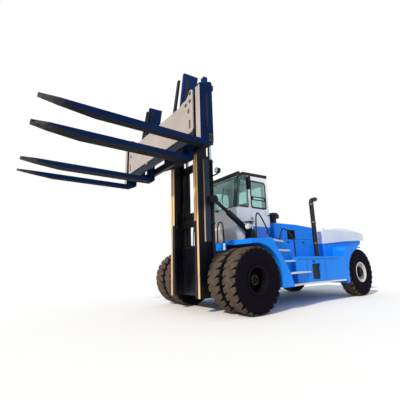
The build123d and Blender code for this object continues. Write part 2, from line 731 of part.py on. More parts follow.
# Panes are bonded on the outside and lap over the edges of their openings
with BuildPart() as cab_glass:
    slab(
        [
            (screen_x(SCREEN_SILL - PANE_LAP, 0), SCREEN_SILL - PANE_LAP),
            (screen_x(SCREEN_SILL - PANE_LAP, PANE_T), SCREEN_SILL - PANE_LAP),
            (screen_x(SCREEN_TOP + PANE_LAP, PANE_T), SCREEN_TOP + PANE_LAP),
            (screen_x(SCREEN_TOP + PANE_LAP, 0), SCREEN_TOP + PANE_LAP),
        ],
        SCREEN_HALF + PANE_LAP,
        -SCREEN_HALF - PANE_LAP,
    )
    slab(
        rect(CAB_REAR - PANE_T, CAB_REAR, WINDOW_SILL - PANE_LAP, WINDOW_TOP + PANE_LAP),
        REAR_HALF + PANE_LAP,
        -REAR_HALF - PANE_LAP,
    )
    for y_out in (CAB_HALF + PANE_T, -CAB_HALF):
        window(QUARTER, CORNER_R / 2, y_out, y_out - PANE_T, lap=PANE_LAP, mode=Mode.ADD)
    window(SIDE_WINDOW, CORNER_R, -CAB_HALF, -CAB_HALF - PANE_T, lap=PANE_LAP, mode=Mode.ADD)

# Cab door with its pane, hinged at the rear edge on two pins
DOOR_WINDOW = rect(DOOR_REAR + 65, DOOR_FRONT - 75, WINDOW_SILL, WINDOW_TOP)
HINGE_X = DOOR_REAR - DOOR_GAP / 2
HINGE_Y = CAB_HALF + 26
HINGE_R = 12
HINGES = (2150, 2750)
with BuildPart() as cab_door:
    slab(rect(DOOR_REAR, DOOR_FRONT, CAB_FLOOR + CAB_WALL + DOOR_GAP, DOOR_TOP), CAB_HALF, CAB_HALF - CAB_WALL)
    window(DOOR_WINDOW, CORNER_R, CAB_HALF, CAB_HALF - CAB_WALL)
    for hinge_z in HINGES:
        slab(rect(HINGE_X + 20, HINGE_X + 120, hinge_z, hinge_z + 80), CAB_HALF + 34, CAB_HALF)
        with BuildSketch(level(hinge_z)):
            with Locations((HINGE_X, HINGE_Y)):
                Circle(HINGE_R + 12)
            with Locations((HINGE_X + 20, HINGE_Y)):
                Rectangle(40, 16)
        extrude(amount=80)
        with BuildSketch(level(hinge_z)):
            with Locations((HINGE_X, HINGE_Y)):
                Circle(HINGE_R + BORE_CLEAR)
        extrude(amount=80, mode=Mode.SUBTRACT)
with BuildPart() as door_glass:
    window(DOOR_WINDOW, CORNER_R, CAB_HALF + PANE_T, CAB_HALF, lap=PANE_LAP, mode=Mode.ADD)
with BuildPart() as door_hinges:
    for hinge_z in HINGES:
        with BuildSketch(level(hinge_z)):
            with Locations((HINGE_X, HINGE_Y)):
                Circle(HINGE_R)
        extrude(amount=80)
        with BuildSketch(level(hinge_z - 30)):
            with Locations((HINGE_X - 33, CAB_HALF + 20)):
                Rectangle(46, 40)
            with Locations((HINGE_X - 4, HINGE_Y)):
                Rectangle(32, 24)
        extrude(amount=30 - 0.5)
        with BuildSketch(level(hinge_z - 30)):
            with Locations((HINGE_X, HINGE_Y)):
                Circle(HINGE_R)
        extrude(amount=30)

# Cab fittings: seat, dash with wheel
with BuildPart() as operator_seat:
    slab(rect(-1480, -1120, CAB_FLOOR + CAB_WALL, 2450), 180, -180)
    slab(rect(-1520, -1000, 2450, 2580), 260, -260)
    slab([(-1520, 2580), (-1400, 2580), (-1480, 3330), (-1600, 3330)], 250, -250)
with BuildPart() as dash_console:
    slab([(-690, 1960), (-430, 2320), (-430, 2700), (-560, 2760), (-720, 2700), (-760, 1960)], 500, -500)
    with BuildSketch(Plane(origin=(DRIVE_X - 640, 0, 2700), x_dir=(0, 1, 0), z_dir=(-0.5, 0, 0.87))):
        Circle(35)
    extrude(amount=215)
    with BuildSketch(Plane(origin=(DRIVE_X - 740, 0, 2874), x_dir=(0, 1, 0), z_dir=(-0.5, 0, 0.87))):
        Circle(190)
        Circle(160, mode=Mode.SUBTRACT)
        Rectangle(330, 50)
        Circle(60)
    extrude(amount=30)
with BuildPart() as roof_guard:
    slab(rect(-1700, -1620, 4045, 4130), 700, -700)
    for y in (-600, -360, -120, 120, 360, 600):
        slab(rect(-1620, -760, 4090, 4130), y + 25, y - 25)
    slab(rect(-760, -700, 4015, 4130), 700, -700)
    with BuildSketch(side(CAB_HALF)):
        Polygon(*CAB, align=None)
    extrude(amount=2 * CAB_HALF, mode=Mode.SUBTRACT)

# Outer mast: two channels open to the middle, cross members, pivot ears, tilt pin stubs
MAST_FRONT = MAST_REAR + MAST_DEPTH
MAST_IN = MAST_HALF - FLANGE_W


def channel(rear, front_x, tip, outer, flange, web):
    """Plan of an upright whose opening faces the middle of the mast."""
    return [
        (rear, tip),
        (rear + flange, tip),
        (rear + flange, outer - web),
        (front_x - flange, outer - web),
        (front_x - flange, tip),
        (front_x, tip),
        (front_x, outer),
        (rear, outer),
    ]


def flipped(points):
    """The same plan on the truck's right."""
    return [(x, -y) for x, y in points]


OUTER_PLAN = channel(MAST_REAR, MAST_FRONT, MAST_IN, MAST_HALF, FLANGE_T, WEB_T)
with BuildPart() as outer_mast:
    for plan in (OUTER_PLAN, flipped(OUTER_PLAN)):
        with BuildSketch(level(MAST_BOTTOM)):
            Polygon(*plan, align=None)
        extrude(amount=OUTER_TOP - MAST_BOTTOM)
    slab(rect(MAST_REAR, MAST_REAR + FLANGE_T, MAST_BOTTOM, 1760), MAST_IN, -MAST_IN)
    for low, high in ((2550, 2800), (OUTER_TOP - 250, OUTER_TOP)):
        slab(rect(MAST_REAR, MAST_REAR + FLANGE_T, low, high), MAST_IN, -MAST_IN)
    for y_out, y_in in ((MAST_HALF, FRAME_OUT + 5), (FRAME_IN - 5, MAST_IN)):
        both_slabs(
            rect(PIVOT_X - 100, MAST_REAR, PIVOT_Z - 110, PIVOT_Z + 110),
            y_out,
            y_in,
        )
    rod(PIVOT_X, PIVOT_Z, PIVOT_R + BORE_CLEAR, MAST_HALF, -MAST_HALF, mode=Mode.SUBTRACT)
    both_slabs(rect(490, 640, TILT_ROD_Z - 110, TILT_ROD_Z + 110), TILT_Y - 60, MAST_HALF)
    rod(TILT_ROD_X, TILT_ROD_Z, TILT_PIN_R, TILT_Y + 60, MAST_HALF)
    rod(TILT_ROD_X, TILT_ROD_Z, TILT_PIN_R, -MAST_HALF, -TILT_Y - 60)
    both_slabs(rect(LIFT_CYL_X - 60, MAST_REAR, LIFT_CYL_FOOT - 60, LIFT_CYL_FOOT), 690, 540)

# Lift cylinders behind the uprights
with BuildPart() as lift_barrels:
    for way in (1, -1):
        with BuildSketch(level(LIFT_CYL_FOOT)):
            with Locations((LIFT_CYL_X, way * LIFT_CYL_Y)):
                Circle(LIFT_CYL_R)
        extrude(amount=OUTER_TOP - 50 - LIFT_CYL_FOOT)
        with BuildSketch(level(LIFT_CYL_FOOT + 50)):
            with Locations((LIFT_CYL_X, way * LIFT_CYL_Y)):
                Circle(LIFT_ROD_R + PAD_GAP)
        extrude(amount=OUTER_TOP - LIFT_CYL_FOOT, mode=Mode.SUBTRACT)
with BuildPart() as lift_rods:
    for way in (1, -1):
        with BuildSketch(level(LIFT_CYL_FOOT + 70 + LIFT_DOWN)):
            with Locations((LIFT_CYL_X, way * LIFT_CYL_Y)):
                Circle(LIFT_ROD_R)
        extrude(amount=INNER_TOP - CROSSHEAD_H - (LIFT_CYL_FOOT + 70 + LIFT_DOWN))

# Inner mast: channels nested in the outer ones, ties, crosshead over the lift rods
INNER_REAR = MAST_REAR + FLANGE_T + INNER_PLAY
INNER_FRONT = MAST_FRONT - FLANGE_T - INNER_PLAY
INNER_HALF = MAST_HALF - WEB_T - INNER_PLAY
INNER_PLAN = channel(INNER_REAR, INNER_FRONT, MAST_IN, INNER_HALF, INNER_FLANGE_T, INNER_WEB_T)
with BuildPart() as inner_mast:
    for plan in (INNER_PLAN, flipped(INNER_PLAN)):
        with BuildSketch(level(INNER_BOTTOM)):
            Polygon(*plan, align=None)
        extrude(amount=INNER_TOP - INNER_BOTTOM)
    for low, high in ((INNER_BOTTOM, INNER_BOTTOM + 200), (INNER_TOP - CROSSHEAD_H, INNER_TOP)):
        slab(rect(INNER_REAR, INNER_REAR + INNER_FLANGE_T, low, high), MAST_IN, -MAST_IN)
    both_slabs(
        rect(LIFT_CYL_X - 90, INNER_REAR, INNER_TOP - CROSSHEAD_H, INNER_TOP),
        INNER_HALF,
        MAST_IN,
    )
    for low in (INNER_BOTTOM + 40, OUTER_TOP - 400):
        both_slabs(
            rect(INNER_FRONT, INNER_FRONT + INNER_PLAY - PAD_GAP, low, low + 200),
            INNER_HALF - 20,
            MAST_IN + 20,
        )

# Carriage frame: roller plates in the inner mast, two beams, end plates, bars behind the apron
ROLLER_X = (INNER_REAR + INNER_FRONT) / 2
ROLLER_R = (INNER_FRONT - INNER_REAR) / 2 - INNER_FLANGE_T - PAD_GAP
PLATE_IN = 450
PLATE_OUT = MAST_IN - 10
BEAM_LOW = (4100, 4300)
BEAM_HIGH = (5130, 5330)
BAR_REAR = APRON_X - 70
BAR_TOP = 5180
with BuildPart() as carriage_frame:
    both_slabs(
        [(ROLLER_X - 90, 4400), (BEAM_REAR, 4100), (BEAM_REAR, 5330), (ROLLER_X - 90, 5560)],
        PLATE_OUT,
        PLATE_IN,
    )
    for roller_z in (4530, 5430):
        rod(ROLLER_X, roller_z, ROLLER_R, INNER_HALF - INNER_WEB_T - 10, PLATE_OUT)
        rod(ROLLER_X, roller_z, ROLLER_R, -PLATE_OUT, INNER_WEB_T + 10 - INNER_HALF)
    for low, high in (BEAM_LOW, BEAM_HIGH):
        slab(rect(BEAM_REAR, BEAM_FRONT, low, high), APRON_HALF, -APRON_HALF)
    both_slabs(
        [(BEAM_REAR, 4090), (APRON_X, 4090), (APRON_X, 5230), (BEAM_FRONT, 5400), (BEAM_REAR, 5400)],
        APRON_HALF,
        APRON_HALF - 60,
    )
    both_slabs(rect(OUTER_SHANK_X + 30, BAR_REAR, 4090, 5400), OUTER_FORK_Y - OUTER_FORK_W / 2, APRON_HALF)
    for low, high in ((4095, 4290), (5060, BAR_TOP)):
        slab(rect(BAR_REAR, APRON_X, low, high), APRON_HALF - 60, 60 - APRON_HALF)

# Apron plate with round-topped horns at its ends, holes and slots, drawn for one half
APRON_LOW = 4310
APRON_TOP = 5190
SHOULDER_Z = 5240
HORN_R = 90
HORN_Z = 5330
with BuildPart() as apron_plate:
    with BuildSketch(front(APRON_X)):
        with BuildLine():
            Polyline(
                (0, APRON_LOW),
                (APRON_HALF - 60, APRON_LOW),
                (APRON_HALF, APRON_LOW + 60),
                (APRON_HALF, HORN_Z),
                (APRON_HALF - 2 * HORN_R, HORN_Z),
                (APRON_HALF - 300, SHOULDER_Z),
                (APRON_HALF - 440, SHOULDER_Z),
                (APRON_HALF - 600, APRON_TOP),
                (0, APRON_TOP),
                close=True,
            )
        make_face()
        with Locations((APRON_HALF - HORN_R, HORN_Z)):
            Circle(HORN_R)
        with Locations((APRON_HALF - 110, 5340), (APRON_HALF - 115, 5130), (APRON_HALF - 300, 5100)):
            Circle(28, mode=Mode.SUBTRACT)
        with Locations((APRON_HALF - 180, 4890)):
            SlotCenterToCenter(40, 50, rotation=90, mode=Mode.SUBTRACT)
        with Locations((APRON_HALF - 140, 4530)):
            SlotCenterToCenter(140, 50, rotation=90, mode=Mode.SUBTRACT)
        mirror(about=Plane.YZ)
    extrude(amount=APRON_T)

# Backrest posts and guard bars above the apron
with BuildPart() as backrest_posts:
    both_slabs(
        [(BEAM_REAR, 5330), (BEAM_FRONT + INNER_SHANK_T, 5330), (1490, 6590), (1250, 6330)],
        INNER_FORK_Y + 145,
        INNER_FORK_Y - 155,
    )
with BuildPart() as guard_bars:
    both_slabs(
        [(BAR_REAR, BAR_TOP), (APRON_X, BAR_TOP), (1700, 6270), (1640, 6270)],
        INNER_FORK_Y - 69,
        INNER_FORK_Y - 149,
    )

# Forks: (name, shank's rear face, its depth, heel length, top at the rear and front, width, Y)
FORKS = (
    ("fork_outer_left", OUTER_SHANK_X, OUTER_SHANK_T, 230, 5530, 5360, OUTER_FORK_W, OUTER_FORK_Y),
    ("fork_inner_left", BEAM_FRONT, INNER_SHANK_T, 60, 5325, 5325, FORK_W, INNER_FORK_Y),
    ("fork_inner_right", BEAM_FRONT, INNER_SHANK_T, 60, 5325, 5325, FORK_W, -INNER_FORK_Y),
    ("fork_outer_right", OUTER_SHANK_X, OUTER_SHANK_T, 230, 5530, 5360, OUTER_FORK_W, -OUTER_FORK_Y),
)
TAPER_X = FORK_REACH - 940
TIP_CUT = 320
forks = []
for fork_name, shank_x, shank_t, heel, top_rear, top_front, width, fork_y in FORKS:
    with BuildPart() as fork:
        slab(
            [
                (shank_x, FORK_Z + 30 + 0.35 * heel),
                (shank_x + heel, FORK_Z),
                (TAPER_X, FORK_Z),
                (FORK_REACH, FORK_Z + FORK_T - FORK_TIP_T),
                (FORK_REACH, FORK_Z + FORK_T),
                (shank_x + shank_t, FORK_Z + FORK_T),
                (shank_x + shank_t, top_front),
                (shank_x, top_rear),
            ],
            fork_y + width / 2,
            fork_y - width / 2,
        )
        with BuildSketch(level(FORK_Z - 20)):
            for way in (1, -1):
                Polygon(
                    (FORK_REACH - TIP_CUT, fork_y + way * 0.5 * width),
                    (FORK_REACH, fork_y + way * 0.32 * width),
                    (FORK_REACH + 20, fork_y + way * 0.32 * width),
                    (FORK_REACH + 20, fork_y + way * 0.6 * width),
                    (FORK_REACH - TIP_CUT, fork_y + way * 0.6 * width),
                    align=None,
                )
        extrude(amount=FORK_T + 40, mode=Mode.SUBTRACT)
    fork.part.label = fork_name
    forks.append(fork.part)

# Chain sheaves in brackets on the crosshead, and the front strands up from the carriage's anchor
SHEAVE_R = 110
SHEAVE_X = INNER_REAR + INNER_FLANGE_T + SHEAVE_R + 2
SHEAVE_Y = 250
SHEAVE_Z = INNER_TOP - 60
CHAIN_W = 70
CHAIN_T = 30
with BuildPart() as chain_sheaves:
    for y in (SHEAVE_Y, -SHEAVE_Y):
        rod(SHEAVE_X, SHEAVE_Z, SHEAVE_R, y + 50.8, y - 50.8)
with BuildPart() as sheave_bracket:
    for y in (SHEAVE_Y, -SHEAVE_Y):
        for y_out in (y + 85, y - 51):
            slab(
                rect(INNER_REAR + INNER_FLANGE_T, SHEAVE_X + 60, SHEAVE_Z - 50, INNER_TOP),
                y_out,
                y_out - 34,
            )
CHAIN_X = SHEAVE_X + SHEAVE_R + 6
CHAIN_LOW = 5300
CHAIN_PITCH = 190
with BuildPart() as carriage_chains:
    for y in (SHEAVE_Y, -SHEAVE_Y):
        slab(rect(CHAIN_X, CHAIN_X + CHAIN_T, CHAIN_LOW, SHEAVE_Z), y + CHAIN_W / 2, y - CHAIN_W / 2)
        for k in range(int((SHEAVE_Z - CHAIN_LOW) / CHAIN_PITCH)):
            low = CHAIN_LOW + (k + 0.5) * CHAIN_PITCH
            slab(rect(CHAIN_X + 8, CHAIN_X + CHAIN_T + 8, low, low + CHAIN_PITCH / 2), y + 43, y - 43)
with BuildPart() as chain_anchor:
    slab(rect(CHAIN_X, CHAIN_X + 120, CHAIN_LOW - 120, CHAIN_LOW), PLATE_IN, -PLATE_IN)

# Tilt cylinders with their deck brackets
TILT_DX = TILT_ROD_X - TILT_BARREL_X
TILT_DZ = TILT_ROD_Z - TILT_BARREL_Z
TILT_LEN = math.hypot(TILT_DX, TILT_DZ)
TILT_PLANE = Plane(
    origin=(DRIVE_X + TILT_BARREL_X, TILT_Y, TILT_BARREL_Z),
    x_dir=(0, 1, 0),
    z_dir=(TILT_DX, 0, TILT_DZ),
)
TILT_BORE_START = 250
TILT_BARREL_END = 980
TILT_ROD_START = 630
with BuildPart() as tilt_barrel_left:
    rod(TILT_BARREL_X, TILT_BARREL_Z, TILT_EYE_R, TILT_Y + TILT_EYE_W / 2, TILT_Y - TILT_EYE_W / 2)
    with BuildSketch(TILT_PLANE):
        Circle(TILT_CYL_R)
    extrude(amount=TILT_BARREL_END)
    with BuildSketch(TILT_PLANE.offset(TILT_BORE_START)):
        Circle(TILT_ROD_R + PAD_GAP)
    extrude(amount=TILT_BARREL_END, mode=Mode.SUBTRACT)
    rod(
        TILT_BARREL_X,
        TILT_BARREL_Z,
        TILT_PIN_R + BORE_CLEAR,
        TILT_Y + TILT_CYL_R,
        TILT_Y - TILT_CYL_R,
        mode=Mode.SUBTRACT,
    )
with BuildPart() as tilt_rod_left:
    with BuildSketch(TILT_PLANE.offset(TILT_ROD_START)):
        Circle(TILT_ROD_R)
    extrude(amount=TILT_LEN - TILT_ROD_START - (TILT_EYE_BORE + TILT_EYE_R) / 2)
    rod(TILT_ROD_X, TILT_ROD_Z, TILT_EYE_R, TILT_Y + TILT_EYE_W / 2, TILT_Y - TILT_EYE_W / 2)
    rod(
        TILT_ROD_X,
        TILT_ROD_Z,
        TILT_EYE_BORE,
        TILT_Y + TILT_EYE_W / 2,
        TILT_Y - TILT_EYE_W / 2,
        mode=Mode.SUBTRACT,
    )
with BuildPart() as tilt_barrel_right:
    mirror(tilt_barrel_left.part, about=Plane.XZ)
with BuildPart() as tilt_rod_right:
    mirror(tilt_rod_left.part, about=Plane.XZ)
EAR_Y = TILT_Y - TILT_CYL_R - 5
with BuildPart() as tilt_brackets:
    for y_out, y_in in ((TILT_Y + TILT_CYL_R + 45, TILT_Y + TILT_CYL_R + 5), (EAR_Y, EAR_Y - 20)):
        both_slabs(
            [
                (TILT_BARREL_X - 130, DECK_Z),
                (TILT_BARREL_X + 130, DECK_Z),
                (TILT_BARREL_X + 70, TILT_BARREL_Z + 80),
                (TILT_BARREL_X - 70, TILT_BARREL_Z + 80),
            ],
            y_out,
            y_in,
        )
    both_slabs(
        rect(TILT_BARREL_X - 130, TILT_BARREL_X + 130, DECK_Z, DECK_Z + 30),
        TILT_Y + TILT_CYL_R + 5,
        EAR_Y,
    )
    rod(TILT_BARREL_X, TILT_BARREL_Z, TILT_PIN_R, TILT_Y + TILT_CYL_R + 45, EAR_Y - 20)
    rod(TILT_BARREL_X, TILT_BARREL_Z, TILT_PIN_R, 20 - EAR_Y, -TILT_Y - TILT_CYL_R - 45)

# Handrails on the fender and the stair, seated on what carries them: points of each tube's middle line
RAIL_R = 20
U_RAIL_X = SHELF_FRONT - 20
STAIR_RAIL_Y = STEP_Y - 25
OUTER_RAIL_Y = SPONSON_Y - 5
FOOT_RAIL_X = HOOD_FRONT - 30
RAILS = (
    (
        (U_RAIL_X, 1200, SHELF_Z - 20),
        (U_RAIL_X, 1200, 2280),
        (U_RAIL_X, 1185, 2325),
        (U_RAIL_X, 1150, 2350),
        (U_RAIL_X, 1000, 2350),
        (U_RAIL_X, 965, 2325),
        (U_RAIL_X, 950, 2280),
        (U_RAIL_X, 950, SHELF_Z - 20),
    ),
    (
        (-440, STAIR_RAIL_Y, DECK_Z - 30),
        (-465, STAIR_RAIL_Y, 2480),
        (-490, STAIR_RAIL_Y, 2565),
        (-560, STAIR_RAIL_Y, 2610),
        (-640, STAIR_RAIL_Y, 2570),
        (-1085, STAIR_RAIL_Y, DECK_Z - 20),
    ),
    (
        (HOOD_FRONT + 610, OUTER_RAIL_Y - 45, DECK_Z - 50),
        (HOOD_FRONT + 600, OUTER_RAIL_Y, 2060),
        (HOOD_FRONT + 560, OUTER_RAIL_Y, 2160),
        (HOOD_FRONT + 450, OUTER_RAIL_Y, 2210),
        (HOOD_FRONT + 340, OUTER_RAIL_Y, 2160),
        (HOOD_FRONT + 40, OUTER_RAIL_Y, 1960),
        (FOOT_RAIL_X, OUTER_RAIL_Y - 25, 1800),
        (FOOT_RAIL_X, OUTER_RAIL_Y - 30, SPONSON_Z - 10),
    ),
)
with BuildPart() as handrails:
    for rail in RAILS:
        with BuildLine() as rail_path:
            Polyline(*[(DRIVE_X + x, y, z) for x, y, z in rail])
        with BuildSketch(Plane(origin=rail_path.line @ 0, z_dir=rail_path.line % 0)):
            RegularPolygon(RAIL_R, 8)
        sweep(transition=Transition.RIGHT)
    for support in (fender_left, sponson_left, step_treads):
        add(support.part, mode=Mode.SUBTRACT)
    mirror(about=Plane.XZ)

# Work lamps on deck posts, each under a flat visor
LAMP_X = -530
LAMP_Y = 1250
LAMP_Z = 2290
LAMP_R = 95
with BuildPart() as work_lamps:
    slab(rect(LAMP_X - 40, LAMP_X, DECK_Z - 30, LAMP_Z + 120), LAMP_Y + 25, LAMP_Y - 25)
    with BuildSketch(front(LAMP_X)):
        with Locations((LAMP_Y, LAMP_Z)):
            Circle(LAMP_R)
    extrude(amount=120)
    slab(rect(LAMP_X - 40, LAMP_X + 200, LAMP_Z + 105, LAMP_Z + 120), LAMP_Y + 130, LAMP_Y - 130)
    for support in (fender_left, sponson_left):
        add(support.part, mode=Mode.SUBTRACT)
    mirror(about=Plane.XZ)

# Mirrors on arms over the quarter windows
MIRROR_X = -760
MIRROR_TOP = 3860
with BuildPart() as cab_mirrors:
    slab(rect(MIRROR_X - 15, MIRROR_X + 15, MIRROR_TOP - 15, MIRROR_TOP + 15), CAB_HALF + 170, CAB_HALF)
    slab(rect(MIRROR_X - 30, MIRROR_X + 30, MIRROR_TOP - 400, MIRROR_TOP), CAB_HALF + 250, CAB_HALF + 90)
    mirror(about=Plane.XZ)

# Mast fittings: a lamp on an arm and two hose lines with clips beside each upright
HOSE_X = MAST_REAR - 30
HOSE_R = 18
HOSE_LOW = 1250
HOSE_TOP = OUTER_TOP - 100
MAST_LAMP_Y = MAST_HALF + 370
MAST_LAMP_Z = 3820
with BuildPart() as mast_fittings:
    slab(rect(MAST_REAR + 10, MAST_REAR + 40, MAST_LAMP_Z - 115, MAST_LAMP_Z - 85), MAST_LAMP_Y, MAST_HALF)
    slab(rect(MAST_REAR + 10, MAST_REAR + 40, MAST_LAMP_Z - 85, MAST_LAMP_Z), MAST_LAMP_Y, MAST_LAMP_Y - 30)
    with BuildSketch(front(MAST_REAR - 30)):
        with Locations((MAST_LAMP_Y, MAST_LAMP_Z)):
            Circle(80)
    extrude(amount=100)
    for hose_y in (MAST_HALF + 25, MAST_HALF + 70):
        with BuildSketch(level(HOSE_LOW)):
            with Locations((HOSE_X, hose_y)):
                RegularPolygon(HOSE_R, 10)
        extrude(amount=HOSE_TOP - HOSE_LOW)
    for clip_z in (HOSE_LOW + 100, 2350, HOSE_TOP - 100):
        slab(rect(HOSE_X - 25, MAST_REAR + 60, clip_z, clip_z + 40), MAST_HALF + 95, MAST_HALF)
    mirror(about=Plane.XZ)

NODES = (
    ("hood_grille", hood_grille),
    ("tow_clevis", tow_clevis),
    ("handrails", handrails),
    ("work_lamps", work_lamps),
    ("cab_mirrors", cab_mirrors),
    ("mast_fittings", mast_fittings),
    ("drive_tyres_left", drive_tyres_left),
    ("drive_tyres_right", drive_tyres_right),
    ("steer_tyre_left", steer_tyre_left),
    ("steer_tyre_right", steer_tyre_right),
    ("drive_rims_left", drive_rims_left),
    ("drive_rims_right", drive_rims_right),
    ("steer_rim_left", steer_rim_left),
    ("steer_rim_right", steer_rim_right),
    ("main_frame", main_frame),
    ("drive_axle", drive_axle),
    ("steer_axle", steer_axle),
    ("knuckle_left", knuckle_left),
    ("knuckle_right", knuckle_right),
    ("fender_left", fender_left),
    ("fender_right", fender_right),
    ("sponson_left", sponson_left),
    ("sponson_right", sponson_right),
    ("step_treads", step_treads),
    ("counterweight", counterweight),
    ("counterweight_cap", counterweight_cap),
    ("engine_hood", engine_hood),
    ("hood_lid", hood_lid),
    ("engine_block", engine_block),
    ("exhaust_stack", exhaust_stack),
    ("air_intake", air_intake),
    ("cab_shell", cab_shell),
    ("cab_glass", cab_glass),
    ("cab_door", cab_door),
    ("door_glass", door_glass),
    ("door_hinges", door_hinges),
    ("operator_seat", operator_seat),
    ("dash_console", dash_console),
    ("roof_guard", roof_guard),
    ("outer_mast", outer_mast),
    ("lift_barrels", lift_barrels),
    ("lift_rods", lift_rods),
    ("inner_mast", inner_mast),
    ("chain_sheaves", chain_sheaves),
    ("sheave_bracket", sheave_bracket),
    ("carriage_frame", carriage_frame),
    ("carriage_chains", carriage_chains),
    ("chain_anchor", chain_anchor),
    ("apron_plate", apron_plate),
    ("backrest_posts", backrest_posts),
    ("guard_bars", guard_bars),
    ("tilt_barrel_left", tilt_barrel_left),
    ("tilt_barrel_right", tilt_barrel_right),
    ("tilt_rod_left", tilt_rod_left),
    ("tilt_rod_right", tilt_rod_right),
    ("tilt_brackets", tilt_brackets),
)
for node_name, node in NODES:
    node.part.label = node_name
    export_step(node.part, "parts/" + node_name + ".step")
for fork_part in forks:
    export_step(fork_part, "parts/" + fork_part.label + ".step")
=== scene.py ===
# %% [markdown]
# # A heavy forklift, dressed from its solids
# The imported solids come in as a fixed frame. Each cell below either gives a solid the surface it has on
# the real truck or replaces it with a finer one that fills the same room.

# %% Load the frame
import math

import bpy
import numpy as np
from mathutils import Matrix, Vector


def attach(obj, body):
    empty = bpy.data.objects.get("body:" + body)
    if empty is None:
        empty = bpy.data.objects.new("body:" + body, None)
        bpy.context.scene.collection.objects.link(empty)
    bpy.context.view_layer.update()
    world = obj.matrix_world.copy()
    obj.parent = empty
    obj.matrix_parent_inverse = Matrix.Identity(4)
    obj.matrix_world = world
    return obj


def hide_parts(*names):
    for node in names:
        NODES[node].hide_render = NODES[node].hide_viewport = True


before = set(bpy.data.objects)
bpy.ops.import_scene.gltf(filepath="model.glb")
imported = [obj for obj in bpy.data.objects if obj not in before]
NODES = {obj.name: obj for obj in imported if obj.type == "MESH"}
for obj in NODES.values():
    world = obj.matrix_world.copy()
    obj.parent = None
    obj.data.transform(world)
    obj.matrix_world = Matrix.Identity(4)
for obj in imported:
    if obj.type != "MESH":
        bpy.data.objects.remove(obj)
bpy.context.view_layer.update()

DRIVE_X, WHEELBASE, AXLE_Z = 0.92, 5.74, 0.835
STEER_X = DRIVE_X - WHEELBASE

# %% [markdown]
# ## Camera
# The photograph was taken from low down in front of the left drive wheel with a wide lens. The place and
# the two angles were fitted to tyre centres, fork tips and the mast, and a small roll is kept, because the
# real camera was not quite level. The columns of the camera matrix are its right, up and backward axes.

# %% Set the camera
yaw, pitch, roll = -2.198, 0.223, -0.026
forward = np.array([math.cos(pitch) * math.cos(yaw), math.cos(pitch) * math.sin(yaw), math.sin(pitch)])
right = np.cross(forward, (0.0, 0.0, 1.0))
right /= np.linalg.norm(right)
up = np.cross(right, forward)
cam_x = math.cos(roll) * right + math.sin(roll) * up
cam_y = -math.sin(roll) * right + math.cos(roll) * up
cam_data = bpy.data.cameras.new("camera")
cam_data.sensor_width = 36.0
cam_data.lens = 25.80
cam_data.clip_end = 200.0
camera = bpy.data.objects.new("camera", cam_data)
bpy.context.scene.collection.objects.link(camera)
cam_at = (5.422 + DRIVE_X, 7.035, 1.234)
cam_rows = [[cam_x[i], cam_y[i], -forward[i], cam_at[i]] for i in range(3)]
camera.matrix_world = Matrix([*cam_rows, [0, 0, 0, 1]])
bpy.context.scene.camera = camera
print("camera at", tuple(round(v, 3) for v in camera.matrix_world.translation))

# %% [markdown]
# ## Light and floor
# A low warm sun from the front left lights the truck and a pale sky fills the shadows; the tan on the mast's
# front edges is painted sunlight. Rays that come straight from the camera see white, as the cut-out
# photograph does.

# %% Light the scene
def fill(made, **inputs):
    """Set a node's inputs by name, with _ for a space."""
    for name, value in inputs.items():
        made.inputs[name.replace("_", " ")].default_value = value
    return made


def node(tree, kind, **inputs):
    """A new shader node with its inputs set."""
    return fill(tree.nodes.new("ShaderNode" + kind), **inputs)


scene = bpy.context.scene
scene.view_settings.view_transform = "Standard"
world = bpy.data.worlds.new("studio")
scene.world = world
world.use_nodes = True
nt = world.node_tree
nt.nodes.clear()
out, mix, path = node(nt, "OutputWorld"), node(nt, "MixShader"), node(nt, "LightPath")
sky = node(nt, "Background", Color=(0.80, 0.89, 1.0, 1), Strength=0.72)
white = node(nt, "Background", Color=(1, 1, 1, 1), Strength=1.0)
nt.links.new(path.outputs["Is Camera Ray"], mix.inputs[0])
nt.links.new(sky.outputs[0], mix.inputs[1])
nt.links.new(white.outputs[0], mix.inputs[2])
nt.links.new(mix.outputs[0], out.inputs[0])

sun_data = bpy.data.lights.new("sun", "SUN")
sun_data.energy = 3.4
sun_data.angle = math.radians(3)
sun_data.color = (1.0, 0.90, 0.76)
sun = bpy.data.objects.new("sun", sun_data)
scene.collection.objects.link(sun)
SUNLIGHT = (-0.80, -0.28, -0.62)
sun.rotation_euler = Vector(SUNLIGHT).to_track_quat("-Z", "Y").to_euler()
print("sun", sun_data.energy, "sky", round(sky.inputs[1].default_value, 2))

# %% Lay the floor
FLOOR = [(-60, -60, 0), (60, -60, 0), (60, 60, 0), (-60, 60, 0)]
floor_mesh = bpy.data.meshes.new("floor")
floor_mesh.from_pydata(FLOOR, [], [(0, 1, 2, 3)])
floor = bpy.data.objects.new("floor", floor_mesh)
scene.collection.objects.link(floor)
floor_mat = bpy.data.materials.new("floor_white")
floor_mat.use_nodes = True
fill(floor_mat.node_tree.nodes["Principled BSDF"], Base_Color=(0.86, 0.86, 0.86, 1), Roughness=0.9)
floor_mesh.materials.append(floor_mat)
print("floor corners", len(FLOOR))

# %% [markdown]
# ## Surface kit
# Every added piece is a surface computed as whole arrays. A grid of points wraps one or both ways, a tube
# carries a circle along a path, a lathe turns an outline about an axle, and small like pieces such as nuts
# are copies of one prism, joined in one mesh. Pieces stay in the row frame and ride a body.

# %% Grids and pieces
def grid_faces(rows, cols, wrap_rows=False, wrap_cols=True):
    """Quads between neighbouring points of a grid stored row by row."""
    r = np.arange(rows if wrap_rows else rows - 1)[:, None]
    c = np.arange(cols if wrap_cols else cols - 1)[None, :]
    r2, c2 = (r + 1) % rows, (c + 1) % cols
    return np.stack([r * cols + c, r * cols + c2, r2 * cols + c2, r2 * cols + c], axis=-1).reshape(-1, 4)


